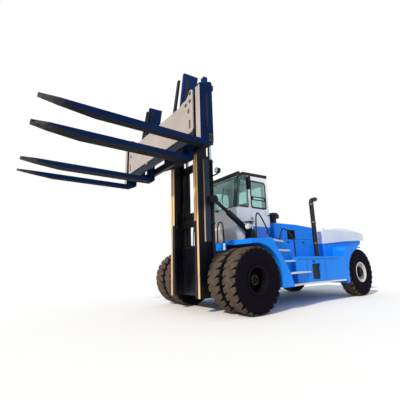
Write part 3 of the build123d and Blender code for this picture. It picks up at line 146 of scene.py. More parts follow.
def joined(parts):
    """One (points, faces) pair from several, with the faces renumbered."""
    starts = np.cumsum([0] + [len(p) for p, _ in parts[:-1]])
    return np.concatenate([p for p, _ in parts]), [f + s for (_, f), s in zip(parts, starts)]


def row(points):
    """Millimetres measured from the drive axle's foot, as metres in the row frame."""
    return np.asarray(points, dtype=float) / 1000 + (DRIVE_X, 0, 0)


def outward(part):
    """The piece with its faces turned so that the enclosed volume is positive."""
    p, f = part
    a, b, c, d = (p[f[:, k]] for k in range(4))
    volume = np.sum(a * np.cross(b, c)) + np.sum(a * np.cross(c, d))
    return (p, f) if volume > 0 else (p, f[:, ::-1])


def add_piece(name, parts, body, slot_name, mats=None, swaps=(), flat_angle=35.0, marks=None):
    """Make an object from (points, faces) parts; part k takes material k, or the last one.

    Without materials it takes the finish that its slot is named after.
    """
    mats = mats or [M[slot_name]]
    points, face_sets = joined([outward(part) for part in parts])
    faces = [f for fs in face_sets for f in fs.tolist()]
    mesh = bpy.data.meshes.new(name)
    mesh.from_pydata(points.tolist(), [], faces)
    for m in mats:
        mesh.materials.append(m)
    index = np.concatenate([np.full(len(fs), min(k, len(mats) - 1)) for k, fs in enumerate(face_sets)])
    mesh.polygons.foreach_set("material_index", index.astype(np.int32))
    mesh.polygons.foreach_set("use_smooth", np.ones(len(faces), dtype=bool))
    for mark, values in (marks or {}).items():
        layer = mesh.attributes.new(mark, "FLOAT", "POINT")
        layer.data.foreach_set("value", np.asarray(values, dtype=np.float32))
    mesh.update()
    mesh.set_sharp_from_angle(angle=math.radians(flat_angle))
    obj = bpy.data.objects.new(name, mesh)
    scene.collection.objects.link(obj)
    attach(obj, body)
    if swaps:
        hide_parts(*swaps)
    return obj


print("a closed 4 by 6 grid has", len(grid_faces(4, 6, wrap_rows=True)), "faces")


# %% Lathe, tube, boxes, copies and pillow
def lathe(outline, axle, segments=64, axis="y"):
    """Turn a closed (radius, distance along the axle) outline about an axle: x = r sin a, z = -r cos a."""
    o = np.asarray(outline, dtype=float)
    a = np.linspace(0, 2 * np.pi, segments, endpoint=False)
    rr, yy = o[:, :1], o[:, 1:2] + 0 * a
    ring = np.stack([rr * np.sin(a), yy, -rr * np.cos(a)], axis=-1)
    if axis == "x":
        ring = ring[..., [1, 0, 2]] * (1, -1, 1)
    if axis == "z":
        ring = ring[..., [0, 2, 1]] * (1, -1, 1)
    return ring.reshape(-1, 3) + np.asarray(axle), grid_faces(len(o), segments, wrap_rows=True)


def rounded_path(points, cuts=3):
    """Soften a polyline's corners by cutting each of them at a quarter, a few times over."""
    p = np.asarray(points, dtype=float)
    for _ in range(cuts):
        a, b = p[:-1], p[1:]
        inner = np.stack([0.75 * a + 0.25 * b, 0.25 * a + 0.75 * b], axis=1).reshape(-1, 3)
        p = np.concatenate([p[:1], inner[1:-1], p[-1:]])
    return p


def tube(points, radius, sides=12, guide=(0.0, 0.0, 1.0)):
    """Carry a circle along a path; the two end rings are drawn in to close it."""
    p = np.asarray(points, dtype=float)
    t = np.gradient(p, axis=0)
    t /= np.linalg.norm(t, axis=1, keepdims=True)
    n = np.cross(t, np.asarray(guide, dtype=float))
    n /= np.linalg.norm(n, axis=1, keepdims=True)
    b = np.cross(t, n)
    a = np.linspace(0, 2 * np.pi, sides, endpoint=False)[None, :, None]
    ring = p[:, None] + radius * (np.cos(a) * n[:, None] + np.sin(a) * b[:, None])
    ends = p[[0, -1]][:, None] + 1e-4 * (ring[[0, -1]] - p[[0, -1]][:, None]) / radius
    rings = np.concatenate([ends[:1], ring, ends[1:]])
    return rings.reshape(-1, 3), grid_faces(len(rings), sides, wrap_rows=True)


def boxes(centres, sizes):
    """Axis-aligned boxes as one mesh: corner = centre plus or minus half the size."""
    c = np.atleast_2d(np.asarray(centres, dtype=float))[:, None]
    s = np.atleast_2d(np.asarray(sizes, dtype=float))[:, None] / 2
    unit = np.array([(i, j, k) for k in (-1, 1) for j in (-1, 1) for i in (-1, 1)], dtype=float)
    quads = np.array([(0, 2, 3, 1), (4, 5, 7, 6), (0, 1, 5, 4), (2, 6, 7, 3), (0, 4, 6, 2), (1, 3, 7, 5)])
    return (c + s * unit).reshape(-1, 3), (quads[None] + 8 * np.arange(len(c))[:, None, None]).reshape(-1, 4)


def copies(part, places):
    """The same piece moved to many places."""
    p, f = part
    places = np.atleast_2d(np.asarray(places, dtype=float))
    moved = (p[None] + places[:, None]).reshape(-1, 3)
    return moved, (f[None] + len(p) * np.arange(len(places))[:, None, None]).reshape(-1, 4)


def stud(radius, height, axis="y", sides=6):
    """A nut or bolt head with a chamfered top, standing on the plane through the origin."""
    outline = [(1e-4, 0), (radius, 0), (radius, 0.75 * height), (0.8 * radius, height), (1e-4, height)]
    return lathe(outline, (0, 0, 0), sides, axis)


def pillow(centre, size, bulge=0.3, rows=28, cols=40):
    """Superellipsoid: each axis is a signed power of a sine or cosine, so low powers give a crowned box."""
    v = np.linspace(-np.pi / 2, np.pi / 2, rows)[:, None]
    u = np.linspace(0, 2 * np.pi, cols, endpoint=False)[None, :]

    def power(w):
        return np.sign(w) * np.abs(w) ** bulge

    ring = power(np.cos(v))
    xyz = np.stack([ring * power(np.cos(u)), ring * power(np.sin(u)), power(np.sin(v)) + 0 * u], axis=-1)
    return (np.asarray(centre) + xyz * np.asarray(size) / 2).reshape(-1, 3), grid_faces(rows, cols)


print("a nut has", len(stud(0.02, 0.02)[1]), "faces")


# %% Left and right
def mirrored(part):
    """The same piece on the truck's other side, with its faces turned back outward."""
    p, f = part
    return p * (1, -1, 1), f[:, ::-1]


def both(part):
    """A piece on the left together with its mirror image."""
    p, (f, g) = joined([part, mirrored(part)])
    return p, np.concatenate([f, g])


def sides(parts):
    """The parts for the left as they are, and those for the right mirrored."""
    return ("left", parts), ("right", [mirrored(part) for part in parts])


print("a pair of boxes has", len(both(boxes((0, 1, 0), (1, 1, 1)))[1]), "faces")

# %% [markdown]
# ## Paint and metal
# A used truck is never one flat colour. Each material mixes two tones with a slow noise, gathers dust
# towards the ground, shows the primer or bare metal where an edge has been rubbed, and changes its gloss
# and its fine bumps over the surface. The edge is found by comparing a rounded normal with the true one,
# and the same rounded normal softens the sharp corners of the solids.
# Some finishes also paint light and shade onto the faces that look one way: a sunlit front, a shaded
# underside.

# %% Mix a finish
DUST = (0.30, 0.25, 0.19)
EDGE_ROUND = 0.006
M = {}  # finishes by name


def surface(name, tone, tone2, rough, edge, dust, dust_top=1.2, metal=0.0, grain=60.0, bump=0.08, coat=0.0,
            streak=0.0, facing_light=(), along=None, skirt=None, shine=0.5):
    """Noise-mixed tones, dust that fades upward, rubbed edges, varied gloss and a fine bump.

    The facing tints are painted light and shade: they tint what looks along an axis, in a band of |y|, over a
    height and in front of an x; along tints from one x to another, and skirt tints what is below a height and
    behind an x.
    """
    mat = bpy.data.materials.new(name)
    mat.use_nodes = True
    t = mat.node_tree
    link = t.links.new
    coord, spot = node(t, "TexCoord"), node(t, "SeparateXYZ")
    link(coord.outputs["Object"], spot.inputs[0])
    x, y, z = spot.outputs

    def noise(scale, detail, rough_=0.55, stretch=None):
        """Noise in the piece's own space, drawn out where it is stretched."""
        n = node(t, "TexNoise", Scale=scale, Detail=detail, Roughness=rough_)
        if stretch:
            m = node(t, "Mapping", Scale=stretch)
            link(coord.outputs["Object"], m.inputs["Vector"])
            link(m.outputs["Vector"], n.inputs["Vector"])
        else:
            link(coord.outputs["Object"], n.inputs["Vector"])
        return n.outputs["Fac"]

    def ranged(value, a, b, c, d):
        """The value carried from a..b to c..d, and held at the ends."""
        m = node(t, "MapRange", From_Min=a, From_Max=b, To_Min=c, To_Max=d)
        link(value, m.inputs["Value"])
        return m.outputs["Result"]

    def times(a, b):
        """The product of two values."""
        m = node(t, "Math")
        m.operation = "MULTIPLY"
        link(a, m.inputs[0])
        link(b, m.inputs[1])
        return m.outputs[0]

    def mixed(fac, a, b):
        """The first colour taken towards the second by a share."""
        m = node(t, "Mix")
        m.data_type = "RGBA"
        link(fac, m.inputs["Factor"])
        for k, value in ((6, a), (7, b)):
            if isinstance(value, tuple):
                m.inputs[k].default_value = (*value, 1)
            else:
                link(value, m.inputs[k])
        return m.outputs[2]

    slow, mid, fine = noise(0.9, 4), noise(7.0, 8, 0.65), noise(grain, 5)
    colour = mixed(ranged(slow, 0.35, 0.65, 0, 1), tone, tone2)
    if streak:
        runs = noise(3.0, 6, 0.6, (5.0, 5.0, 0.35))
        colour = mixed(ranged(runs, 0.55, 0.8, 0, streak), colour, tuple(0.55 * c + 0.02 for c in tone2))
    # Painted light and shade: faces that look along an axis take a lighter or darker tint.
    for axis, low, high, tint, (near, far), bottom, rear in facing_light:
        aim, away = node(t, "SeparateXYZ"), node(t, "Math")
        away.operation = "ABSOLUTE"
        link(coord.outputs["Normal"], aim.inputs[0])
        link(y, away.inputs[0])
        off = away.outputs[0]
        band = times(ranged(off, near, near + 0.004, 0, 1), ranged(off, far + 0.004, far, 0, 1))
        band = times(band, ranged(z, bottom, bottom + 0.01, 0, 1))
        band = times(band, ranged(x, rear, rear + 0.01, 0, 1))
        runs = noise(2.5, 6, 0.6, (7.0, 7.0, 0.3))
        turned = times(ranged(aim.outputs[axis], low, high, 0, 1), band)
        colour = mixed(times(turned, ranged(runs, 0.25, 0.50, 0.65, 1)), colour, tint)
    if skirt:
        top, front, tint = skirt
        below = ranged(z, top + 0.002, top - 0.002, 0, 1)
        colour = mixed(times(below, ranged(x, front + 0.002, front - 0.002, 0, 1)), colour, tint)
    if along:
        low, high, tint = along
        colour = mixed(times(ranged(x, low, high, 0, 1), ranged(mid, 0.40, 0.60, 0, 1)), colour, tint)
    if dust:
        low = ranged(z, dust_top, 0.2, 0, dust)
        colour = mixed(times(low, ranged(mid, 0.3, 0.7, 0.2, 1)), colour, DUST)
    bevel = node(t, "Bevel", Radius=EDGE_ROUND)
    bevel.samples = 4
    if edge:
        geo = node(t, "NewGeometry")
        dot = node(t, "VectorMath")
        dot.operation = "DOT_PRODUCT"
        link(bevel.outputs["Normal"], dot.inputs[0])
        link(geo.outputs["Normal"], dot.inputs[1])
        rubbed = times(ranged(dot.outputs["Value"], 0.995, 0.93, 0, 1), ranged(mid, 0.46, 0.60, 0, 0.9))
        colour = mixed(rubbed, colour, edge)
    bsdf = fill(t.nodes["Principled BSDF"], Metallic=metal, Specular_IOR_Level=shine, Coat_Weight=coat,
                Coat_Roughness=0.12)
    link(colour, bsdf.inputs["Base Color"])
    link(ranged(mid, 0.25, 0.75, max(rough - 0.10, 0.03), min(rough + 0.16, 1.0)), bsdf.inputs["Roughness"])
    dents = node(t, "Bump", Strength=bump, Distance=0.01)
    link(fine, dents.inputs["Height"])
    link(bevel.outputs["Normal"], dents.inputs["Normal"])
    link(dents.outputs["Normal"], bsdf.inputs["Normal"])
    M[name] = mat
    return mat


print("dust tone", DUST)

# %% List the finishes
SUNLIT_TAN = (0.70, 0.44, 0.20)
BLUE = (0.003, 0.190, 0.78)
MAST_TONES = (0.003, 0.003, 0.007), (0.005, 0.006, 0.011)
MAST_EDGE = (0.30, 0.22, 0.14)
ANY_SIDE = (-1.0, 9.0)
# Directions for the painted light and shade: faces that look forward, and faces that look down.
FRONT, UNDER = ("X", 0.5, 0.9), ("Z", -0.5, -0.9)
surface("body_blue", BLUE, (0.006, 0.220, 0.83), 0.36, (0.35, 0.42, 0.5), 0.06, 1.0, coat=0.05, streak=0.10,
        shine=0.12)
# The faces that look forward take a warmer, lighter tint: painted sunlight on the cab's front.
surface("cab_white", (0.78, 0.79, 0.86), (0.84, 0.84, 0.90), 0.32, (0.40, 0.40, 0.42), 0.0, coat=0.3,
        streak=0.12, skirt=(2.36, -0.10, BLUE), facing_light=((*FRONT, (0.96, 0.92, 0.90), ANY_SIDE, 0.0, -9.0),))
surface("cap_white", (0.52, 0.60, 0.73), (0.60, 0.66, 0.77), 0.45, (0.35, 0.36, 0.38), 0.1, 2.0,
        streak=0.30)
surface("frame_black", (0.005, 0.006, 0.009), (0.010, 0.010, 0.013), 0.42, (0.12, 0.11, 0.10), 0.10, 1.1,
        shine=0.25)
surface("mast_navy", (0.004, 0.005, 0.012), (0.007, 0.009, 0.020), 0.40, (0.16, 0.13, 0.11), 0.1, 1.3,
        streak=0.25, shine=0.25)
# The front faces in two bands of |y| take a painted sunlit tan: the low sun on the mast's flanges.
surface("mast_outer_navy", *MAST_TONES, 0.40, MAST_EDGE, 0.06, 1.0, streak=0.25, shine=0.2,
        facing_light=((*FRONT, SUNLIT_TAN, (0.655, 0.7405), 0.0, 1.8), (*FRONT, SUNLIT_TAN, (0.530, 0.636), 2.43, 1.8)))
# The inner flanges' front faces take a painted sunlit grey.
surface("mast_inner_navy", *MAST_TONES, 0.40, MAST_EDGE, 0.0, streak=0.25, shine=0.2,
        facing_light=((*FRONT, (0.30, 0.30, 0.32), (0.585, 0.69), 0.0, 1.7),))
# The rails' front faces take a painted highlight, a light edge line.
surface("mast_side_navy", (0.014, 0.020, 0.044), (0.020, 0.027, 0.055), 0.42, MAST_EDGE, 0.0, streak=0.3,
        shine=0.3, facing_light=((*FRONT, (0.42, 0.34, 0.27), (0.70, 0.90), 0.0, 0.0),))
# The undersides take a painted shade and the outer forks' front faces a painted sunlit grey; the tips are
# worn grey.
surface("fork_steel", (0.003, 0.012, 0.052), (0.005, 0.016, 0.062), 0.5, (0.12, 0.11, 0.10), 0.0, bump=0.2,
        shine=0.03, along=(5.50, 5.95, (0.10, 0.097, 0.09)),
        facing_light=((*UNDER, (0.009, 0.008, 0.008), ANY_SIDE, 0.0, 0.0),
                (*FRONT, (0.42, 0.38, 0.35), (2.0, 9.0), 0.0, 0.0)))
surface("post_blue", (0.003, 0.018, 0.085), (0.005, 0.023, 0.100), 0.42, (0.2, 0.2, 0.22), 0.0, streak=0.2,
        shine=0.06)
surface("apron_cream", (0.36, 0.31, 0.28), (0.43, 0.375, 0.335), 0.5, (0.30, 0.22, 0.15), 0.0, streak=0.30)
surface("axle_iron", (0.014, 0.014, 0.016), (0.03, 0.028, 0.026), 0.62, (0.2, 0.18, 0.16), 0.4, 1.0,
        bump=0.25, shine=0.3)
surface("step_alloy", (0.62, 0.62, 0.64), (0.74, 0.74, 0.76), 0.42, (0.8, 0.8, 0.8), 0.2, 1.2, metal=0.4,
        grain=140.0)
surface("chrome_rod", (0.72, 0.73, 0.76), (0.80, 0.80, 0.82), 0.14, None, 0.0, metal=1.0, bump=0.02)
surface("dash_plastic", (0.030, 0.031, 0.034), (0.045, 0.046, 0.05), 0.55, None, 0.0, grain=220.0,
        bump=0.15)
surface("trim_black", (0.005, 0.005, 0.007), (0.010, 0.010, 0.012), 0.42, (0.08, 0.08, 0.08), 0.05, 1.2,
        shine=0.3)
surface("chain_steel", (0.14, 0.13, 0.125), (0.25, 0.23, 0.21), 0.42, (0.5, 0.48, 0.45), 0.0, metal=0.8,
        grain=120.0)
surface("rim_dark", (0.003, 0.002, 0.004), (0.005, 0.004, 0.005), 0.6, (0.03, 0.025, 0.024), 0.0,
        shine=0.08)
surface("rim_grey", (0.46, 0.47, 0.49), (0.56, 0.56, 0.57), 0.5, (0.2, 0.16, 0.12), 0.3, 1.5, streak=0.25)
surface("lamp_cream", (0.72, 0.69, 0.60), (0.82, 0.79, 0.70), 0.3, None, 0.0, coat=0.4)
print("finishes", len(M))

# %% Make the glass
pane = bpy.data.materials.new("glass_green")
pane.use_nodes = True
pt = pane.node_tree
pane_bsdf = fill(pt.nodes["Principled BSDF"], Base_Color=(0.76, 1.0, 0.91, 1), Transmission_Weight=0.92,
                 IOR=1.45)
film_place = node(pt, "TexCoord")
film = node(pt, "TexNoise", Scale=4.0, Detail=6.0)
film_range = node(pt, "MapRange", To_Min=0.0, To_Max=0.04)
pt.links.new(film_place.outputs["Object"], film.inputs["Vector"])
pt.links.new(film.outputs["Fac"], film_range.inputs["Value"])
pt.links.new(film_range.outputs["Result"], pane_bsdf.inputs["Roughness"])
M["glass_green"] = pane
print("glass nodes", len(pt.nodes))

# %% [markdown]
# ## Tyres and wheels
# A lug tyre is moulded: a smooth casing with slanted notches that open at the shoulder and close near the
# middle rib. Here one grid runs across the profile and round the axle. Each of the 26 pitches has four
# columns for a notch, whose place and width change with the distance from the middle, and the two inner
# ones are pressed in towards the axle. The truck rests on dusty ground, so a mark on the tread carries dust.

# %% Shape a tyre
TYRE_R, TYRE_HALF = 0.835, 0.25
TWIN_Y, INNER_Y, STEER_Y = 1.720, 1.136, 1.425
PITCHES, LUG_COLUMNS = 26, 5
NOTCH_LEAN, NOTCH_IN, NOTCH_HALF = 0.052, 0.05, 0.05
NOTCH_DEPTH, NOTCH_RAMP, SHOULDER_DEPTH = 0.055, 0.05, 0.045
DUST_FROM, DUST_FADE = 0.790, 0.03
CASING = np.array([  # distance from the middle of the tread, radius
    (0.000, 0.835), (0.025, 0.835), (0.050, 0.8348), (0.075, 0.8346), (0.100, 0.834), (0.150, 0.833),
    (0.190, 0.829), (0.212, 0.822), (0.224, 0.806), (0.232, 0.780), (0.238, 0.755), (0.244, 0.700),
    (0.2475, 0.660), (0.2525, 0.654), (0.2525, 0.640), (0.2490, 0.634), (0.2500, 0.585), (0.247, 0.530),
    (0.240, 0.480), (0.228, 0.440), (0.215, 0.410), (0.208, 0.385), (0.2055, 0.345), (0.200, 0.333),
])


def tyre(x, y):
    """Profile rows by columns round the axle; notch columns are drawn in: r = min(r, R - depth)."""
    row_y = np.concatenate([CASING[::-1, 0], -CASING[1:, 0]])[:, None]
    row_r = np.concatenate([CASING[::-1, 1], CASING[1:, 1]])[:, None]
    reach = np.clip((np.abs(row_y) - NOTCH_IN) / (TYRE_HALF - NOTCH_IN), 0, 1)
    rib_lean = -NOTCH_LEAN * row_y / NOTCH_IN
    flank_lean = np.sign(row_y) * NOTCH_LEAN * (2 * reach - 1)
    lean = np.where(np.abs(row_y) < NOTCH_IN, rib_lean, flank_lean)
    half = np.maximum(NOTCH_HALF * reach, 0.002)
    pitch = 2 * np.pi * TYRE_R / PITCHES
    share = np.linspace(0, 1, LUG_COLUMNS + 2)[None, 1:-1]
    notch = lean + half * np.array([[-1.0, -0.82, 0.82, 1.0]])
    lug = lean + half + share * (pitch - 2 * half)
    u = np.concatenate([notch, lug], axis=1)
    depth = NOTCH_DEPTH * np.clip((np.abs(row_y) - NOTCH_IN) / NOTCH_RAMP, 0, 1) + SHOULDER_DEPTH * reach ** 2
    depth = depth * np.array([[0, 1, 1, 0] + [0] * LUG_COLUMNS])
    r = np.minimum(row_r, TYRE_R - depth)
    turns = 2 * np.pi * np.arange(PITCHES)[None, :, None] / PITCHES
    a = (u[:, None, :] / TYRE_R + turns).reshape(len(row_y), -1)
    r = np.tile(r, (1, PITCHES))
    points = np.stack([x + r * np.sin(a), y + row_y + 0 * a, AXLE_Z - r * np.cos(a)], axis=-1).reshape(-1, 3)
    tread = np.clip((r - DUST_FROM) / DUST_FADE, 0, 1).ravel()
    return (points, grid_faces(len(row_y), a.shape[1], wrap_rows=True)), tread


print("lugs", PITCHES, "a side, profile rows", 2 * len(CASING) - 1)

# %% Mix the rubber
rubber = bpy.data.materials.new("tyre_rubber")
rubber.use_nodes = True
rt = rubber.node_tree
rb = fill(rt.nodes["Principled BSDF"], Specular_IOR_Level=0.05)
mark = node(rt, "Attribute")
mark.attribute_name = "tread"
where = node(rt, "TexCoord")
patch = node(rt, "TexNoise", Scale=9.0, Detail=8.0, Roughness=0.7)
share = node(rt, "MapRange", From_Min=0.32, From_Max=0.66, To_Min=0.45)
dusty = node(rt, "Math")
dusty.operation = "MULTIPLY"
side_tone = node(rt, "Mix")
side_tone.data_type = "RGBA"
side_tone.inputs[6].default_value = (0.003, 0.0015, 0.006, 1)
side_tone.inputs[7].default_value = (0.006, 0.004, 0.008, 1)
tone = node(rt, "Mix")
tone.data_type = "RGBA"
tone.inputs[7].default_value = (0.105, 0.080, 0.060, 1)
gloss = node(rt, "MapRange", To_Min=0.62, To_Max=0.95)
skin = node(rt, "TexNoise", Scale=55.0, Detail=6.0)
skin_bump = node(rt, "Bump", Strength=0.35, Distance=0.006)
for a, b in (
    (where.outputs["Object"], patch.inputs["Vector"]),
    (where.outputs["Object"], skin.inputs["Vector"]),
    (patch.outputs["Fac"], share.inputs["Value"]),
    (patch.outputs["Fac"], side_tone.inputs[0]),
    (share.outputs["Result"], dusty.inputs[0]),
    (mark.outputs["Fac"], dusty.inputs[1]),
    (dusty.outputs[0], tone.inputs[0]),
    (side_tone.outputs[2], tone.inputs[6]),
    (tone.outputs[2], rb.inputs["Base Color"]),
    (patch.outputs["Fac"], gloss.inputs["Value"]),
    (gloss.outputs["Result"], rb.inputs["Roughness"]),
    (skin.outputs["Fac"], skin_bump.inputs["Height"]),
    (skin_bump.outputs["Normal"], rb.inputs["Normal"]),
):
    rt.links.new(a, b)
print("rubber nodes", len(rt.nodes))

# %% Fit the tyres
WHEELS = (  # name, axle X, tyre centres
    ("drive", DRIVE_X, (TWIN_Y, INNER_Y)),
    ("steer", STEER_X, (STEER_Y,)),
)
for kind, axle_x, centres in WHEELS:
    made = [tyre(axle_x, y) for y in centres]
    parts, tread = [m[0] for m in made], np.concatenate([m[1] for m in made])
    many = "tyres" if len(centres) > 1 else "tyre"
    for side, turned in sides(parts):
        add_piece(f"{kind}_{many}_{side}_lugged", turned, f"{kind}_wheel_{side}", "tyre_rubber", [rubber],
                  [f"{kind}_{many}_{side}"], 32.0, {"tread": tread})
    print(kind, "tyre points", sum(len(p) for p, _ in parts))

# %% [markdown]
# ## Rims
# Each rim is a turned outline: a barrel with a rolled lip, a dished disc and a hub drum with a round cap.
# A ring of wheel nuts holds the disc. The bearing bore stays open, because the spindle turns in it.

# %% Turn the rims
LIP = [(0.300, -0.045), (0.312, -0.020), (0.318, 0.007), (0.338, 0.021), (0.354, 0.020), (0.360, 0.010),
       (0.352, 0.0015), (0.3302, 0.0012), (0.3300, -0.005)]


def shifted(outline, y):
    """A (radius, distance) outline moved along the axle."""
    return [(r, y + d) for r, d in outline]


BEAD = 0.205  # from the middle of a tyre to its bead seat
DRIVE_DISC, STEER_DISC = 1.47, 1.535
drive_barrel = [
    *shifted([(0.215, 0.03), (0.285, 0.03), (0.297, 0.042), (0.300, 0.06)], DRIVE_DISC),
    *shifted(LIP, TWIN_Y + BEAD), (0.330, INNER_Y - BEAD), (0.300, INNER_Y - BEAD),
    *shifted([(0.300, -0.05), (0.288, -0.03), (0.215, -0.03)], DRIVE_DISC),
]
drive_hub = shifted([
    (0.1104, -0.03), (0.1104, 0.235), (1e-4, 0.235), (1e-4, 0.33), (0.130, 0.33), (0.152, 0.322),
    (0.160, 0.30), (0.160, 0.255), (0.188, 0.25), (0.200, 0.24), (0.200, 0.04),
    (0.2145, 0.031), (0.2145, -0.03),
], DRIVE_DISC)
steer_barrel = [
    *shifted([(0.205, 0.025), (0.285, 0.025), (0.300, 0.038)], STEER_DISC),
    *shifted(LIP, STEER_Y + BEAD), (0.330, STEER_Y - BEAD), (0.300, STEER_Y - BEAD),
    *shifted([(0.300, -0.04), (0.285, -0.025), (0.205, -0.025)], STEER_DISC),
]
steer_hub = shifted([
    (0.0904, -0.095), (0.0904, 0.07), (1e-4, 0.07), (1e-4, 0.125), (0.110, 0.125), (0.133, 0.117),
    (0.140, 0.10), (0.140, 0.085), (0.163, 0.085), (0.170, 0.075), (0.170, 0.035),
    (0.2045, 0.027), (0.2045, -0.027), (0.170, -0.035), (0.170, -0.095),
], STEER_DISC)
CAP_CHAMFER = 5  # which point of a hub outline lies on its cap's chamfer
print("barrel points", len(drive_barrel), len(steer_barrel), "hub points", len(drive_hub), len(steer_hub))


# %% Fit the rims with their nuts
def nut_ring(x, y, radius, count, size):
    """Nuts spaced evenly on a circle about an axle, standing outward on the disc."""
    a = 2 * np.pi * np.arange(count) / count
    places = np.stack([x + radius * np.sin(a), y + 0 * a, AXLE_Z + radius * np.cos(a)], axis=-1)
    return copies(stud(size, 1.3 * size), places)


NUTS, CAP_BOLTS = 20, 10
RIMS = (  # kind, node stem, axle X, barrel, hub, nuts' seat, their circle and size, barrel finish
    ("drive", "drive_rims", DRIVE_X, drive_barrel, drive_hub, DRIVE_DISC + 0.03, 0.248, 0.020, "rim_dark"),
    ("steer", "steer_rim", STEER_X, steer_barrel, steer_hub, STEER_DISC + 0.025, 0.240, 0.018, "rim_grey"),
)
for kind, stem, axle_x, barrel, hub, seat_y, nut_r, size, finish in RIMS:
    axle = (axle_x, 0, AXLE_Z)
    nuts = nut_ring(axle_x, seat_y, nut_r, NUTS, size)
    cap_bolts = nut_ring(axle_x, hub[CAP_CHAMFER][1] + 0.004, 0.105, CAP_BOLTS, 0.010)
    for side, turned in sides([lathe(barrel, axle, 72), lathe(hub, axle, 48), nuts, cap_bolts]):
        add_piece(f"{stem}_{side}_turned", turned, f"{kind}_wheel_{side}", finish,
                  [M[finish], M["rim_dark"], M["chain_steel"]], [f"{stem}_{side}"], 30.0)
print("rims turned with", NUTS, "nuts each")

# %% [markdown]
# ## Dress the solids
# Every solid keeps its shape and gets the finish that its slot stands for. The outer mast's front flanges
# carry a painted sunlit tan and the inner mast's a painted sunlit grey, and the forks carry painted shade
# underneath, a painted sunlit grey on the outer forks' front faces, and are worn grey at their tips.

# %% Give each solid its material
M["tyre_rubber"], M["seat_fabric"] = M["rim_dark"], M["dash_plastic"]  # pieces take these solids' places
OWN_FINISH = {"outer_mast": "mast_outer_navy", "inner_mast": "mast_inner_navy",
              "tilt_rod_left": "frame_black", "tilt_rod_right": "frame_black"}
for name, solid in NODES.items():
    for held in solid.material_slots:
        held.material = M[OWN_FINISH.get(name, held.material.name)]
print("dressed", len(NODES), "solids")

# %% [markdown]
# ## Panes and their rubber seals
# The panes are bonded to the outside of the cab, so a black band runs round each of them. The band is a
# flat profile carried round an outline with rounded corners: each corner is an arc, and the inner edge is
# the same outline drawn in towards the middle. Between the front panes the cab is tinted like the glass,
# and thin plates lie on it there. Outlines are drawn flat, and a small function lays them on a wall.

# %% Bands and plates on a wall
def rounded_outline(corners, radius, steps=7):
    """Corners of a convex polygon replaced by arcs that touch both sides."""
    c = np.asarray(corners, dtype=float)
    before, after = np.roll(c, 1, axis=0) - c, np.roll(c, -1, axis=0) - c
    before /= np.linalg.norm(before, axis=1, keepdims=True)
    after /= np.linalg.norm(after, axis=1, keepdims=True)
    half = np.arccos(np.clip(np.sum(before * after, axis=1), -1, 1)) / 2
    middle = before + after
    middle /= np.linalg.norm(middle, axis=1, keepdims=True)
    centre = c + middle * (radius / np.sin(half))[:, None]
    t = np.linspace(-1, 1, steps)[None, :, None] * (np.pi / 2 - half)[:, None, None]
    across = (after - before) / np.linalg.norm(after - before, axis=1, keepdims=True)
    ring = centre[:, None] + radius * (-np.cos(t) * middle[:, None] + np.sin(t) * across[:, None])
    return ring.reshape(-1, 2)


def seal(corners, place, out=30.0, inside=22.0, low=-1.0, high=14.0, radius=70.0):
    """A flat band between two outlines, from low to high along the pane's normal; place maps (u, v, n)."""
    mid = np.asarray(corners, dtype=float).mean(axis=0)
    base = rounded_outline(corners, radius)
    gap = base - mid
    reach = np.linalg.norm(gap, axis=1, keepdims=True)
    outer, inner = mid + gap * (1 + out / reach), mid + gap * (1 - inside / reach)
    crest = mid + gap * (1 + (out - 6) / reach)
    rows = [(outer, low), (outer, high - 4), (crest, high), (inner, high), (inner, low)]
    ring = np.stack([place(o[:, 0], o[:, 1], n + 0 * o[:, 0]) for o, n in rows])
    return ring.reshape(-1, 3), grid_faces(len(rows), len(base), wrap_rows=True)


def plate(corners, place, low=-1.0, high=4.0):
    """A thin closed plate: its outline at two heights, drawn to the middle on both faces."""
    c = np.asarray(corners, dtype=float)
    mid = np.tile(c.mean(axis=0), (len(c), 1))
    rows = [(mid, low), (c, low), (c, high), (mid, high)]
    ring = np.stack([place(o[:, 0], o[:, 1], n + 0 * o[:, 0]) for o, n in rows])
    return ring.reshape(-1, 3), grid_faces(4, len(c), wrap_rows=True)


CAB_SIDE, CAB_BACK = 880, -1810
WAIST, BROW, ROOF = (-370, 2890), (-510, 3900), (-700, 4020)  # the cab's front corners as x and z
LEAN = (WAIST[0] - BROW[0]) / (BROW[1] - WAIST[1])
BROW_OUT = (0.534, 0.846)


def on_side(u, v, n):
    """The cab's left wall: u forward, v up, n outwards."""
    return row(np.stack([u, CAB_SIDE + n, v], axis=-1))


def on_front(u, v, n):
    """The leaning front wall: u to the left, v up, n outwards."""
    return row(np.stack([WAIST[0] - LEAN * (v - WAIST[1]) + n, u, v], axis=-1))


def on_back(u, v, n):
    """The back wall: u to the left, v up, n outwards."""
    return row(np.stack([CAB_BACK - n, u, v], axis=-1))


def on_brow(u, v, n):
    """The roof's sloped front edge: u to the left, v from its foot (0) to its top (1), n outwards."""
    x = BROW[0] + (ROOF[0] - BROW[0]) * v + BROW_OUT[0] * n
    return row(np.stack([x, u, BROW[1] + (ROOF[1] - BROW[1]) * v + BROW_OUT[1] * n], axis=-1))


print("front wall leans", round(math.degrees(math.atan(LEAN)), 1), "degrees")

# %% Carry the seals round the panes
SILL, TOP = 2950.0, 3800.0
SLIM = (14.0, 12.0)
DOOR_GLASS = [(-1670, SILL), (-1020, SILL), (-1020, TOP), (-1670, TOP)]
QUARTER_GLASS = [(-860, SILL), (-450, SILL), (-569, TOP), (-860, TOP)]
quarter = both(seal(QUARTER_GLASS, on_side, *SLIM))
door_seal = seal(DOOR_GLASS, on_side)
screen = seal([(-760, 2930), (760, 2930), (760, 3830), (-760, 3830)], on_front, *SLIM)
back_pane = seal([(-640, SILL), (640, SILL), (640, TOP), (-640, TOP)], on_back)
corner = both(tube(row([(-371, CAB_SIDE, 2895), (-509, CAB_SIDE, 3893)]), 0.014, guide=(0, 1, 0)))
cab_seals = [quarter, mirrored(door_seal), screen, back_pane, corner]
print("seal points", sum(len(p) for p, _ in cab_seals))

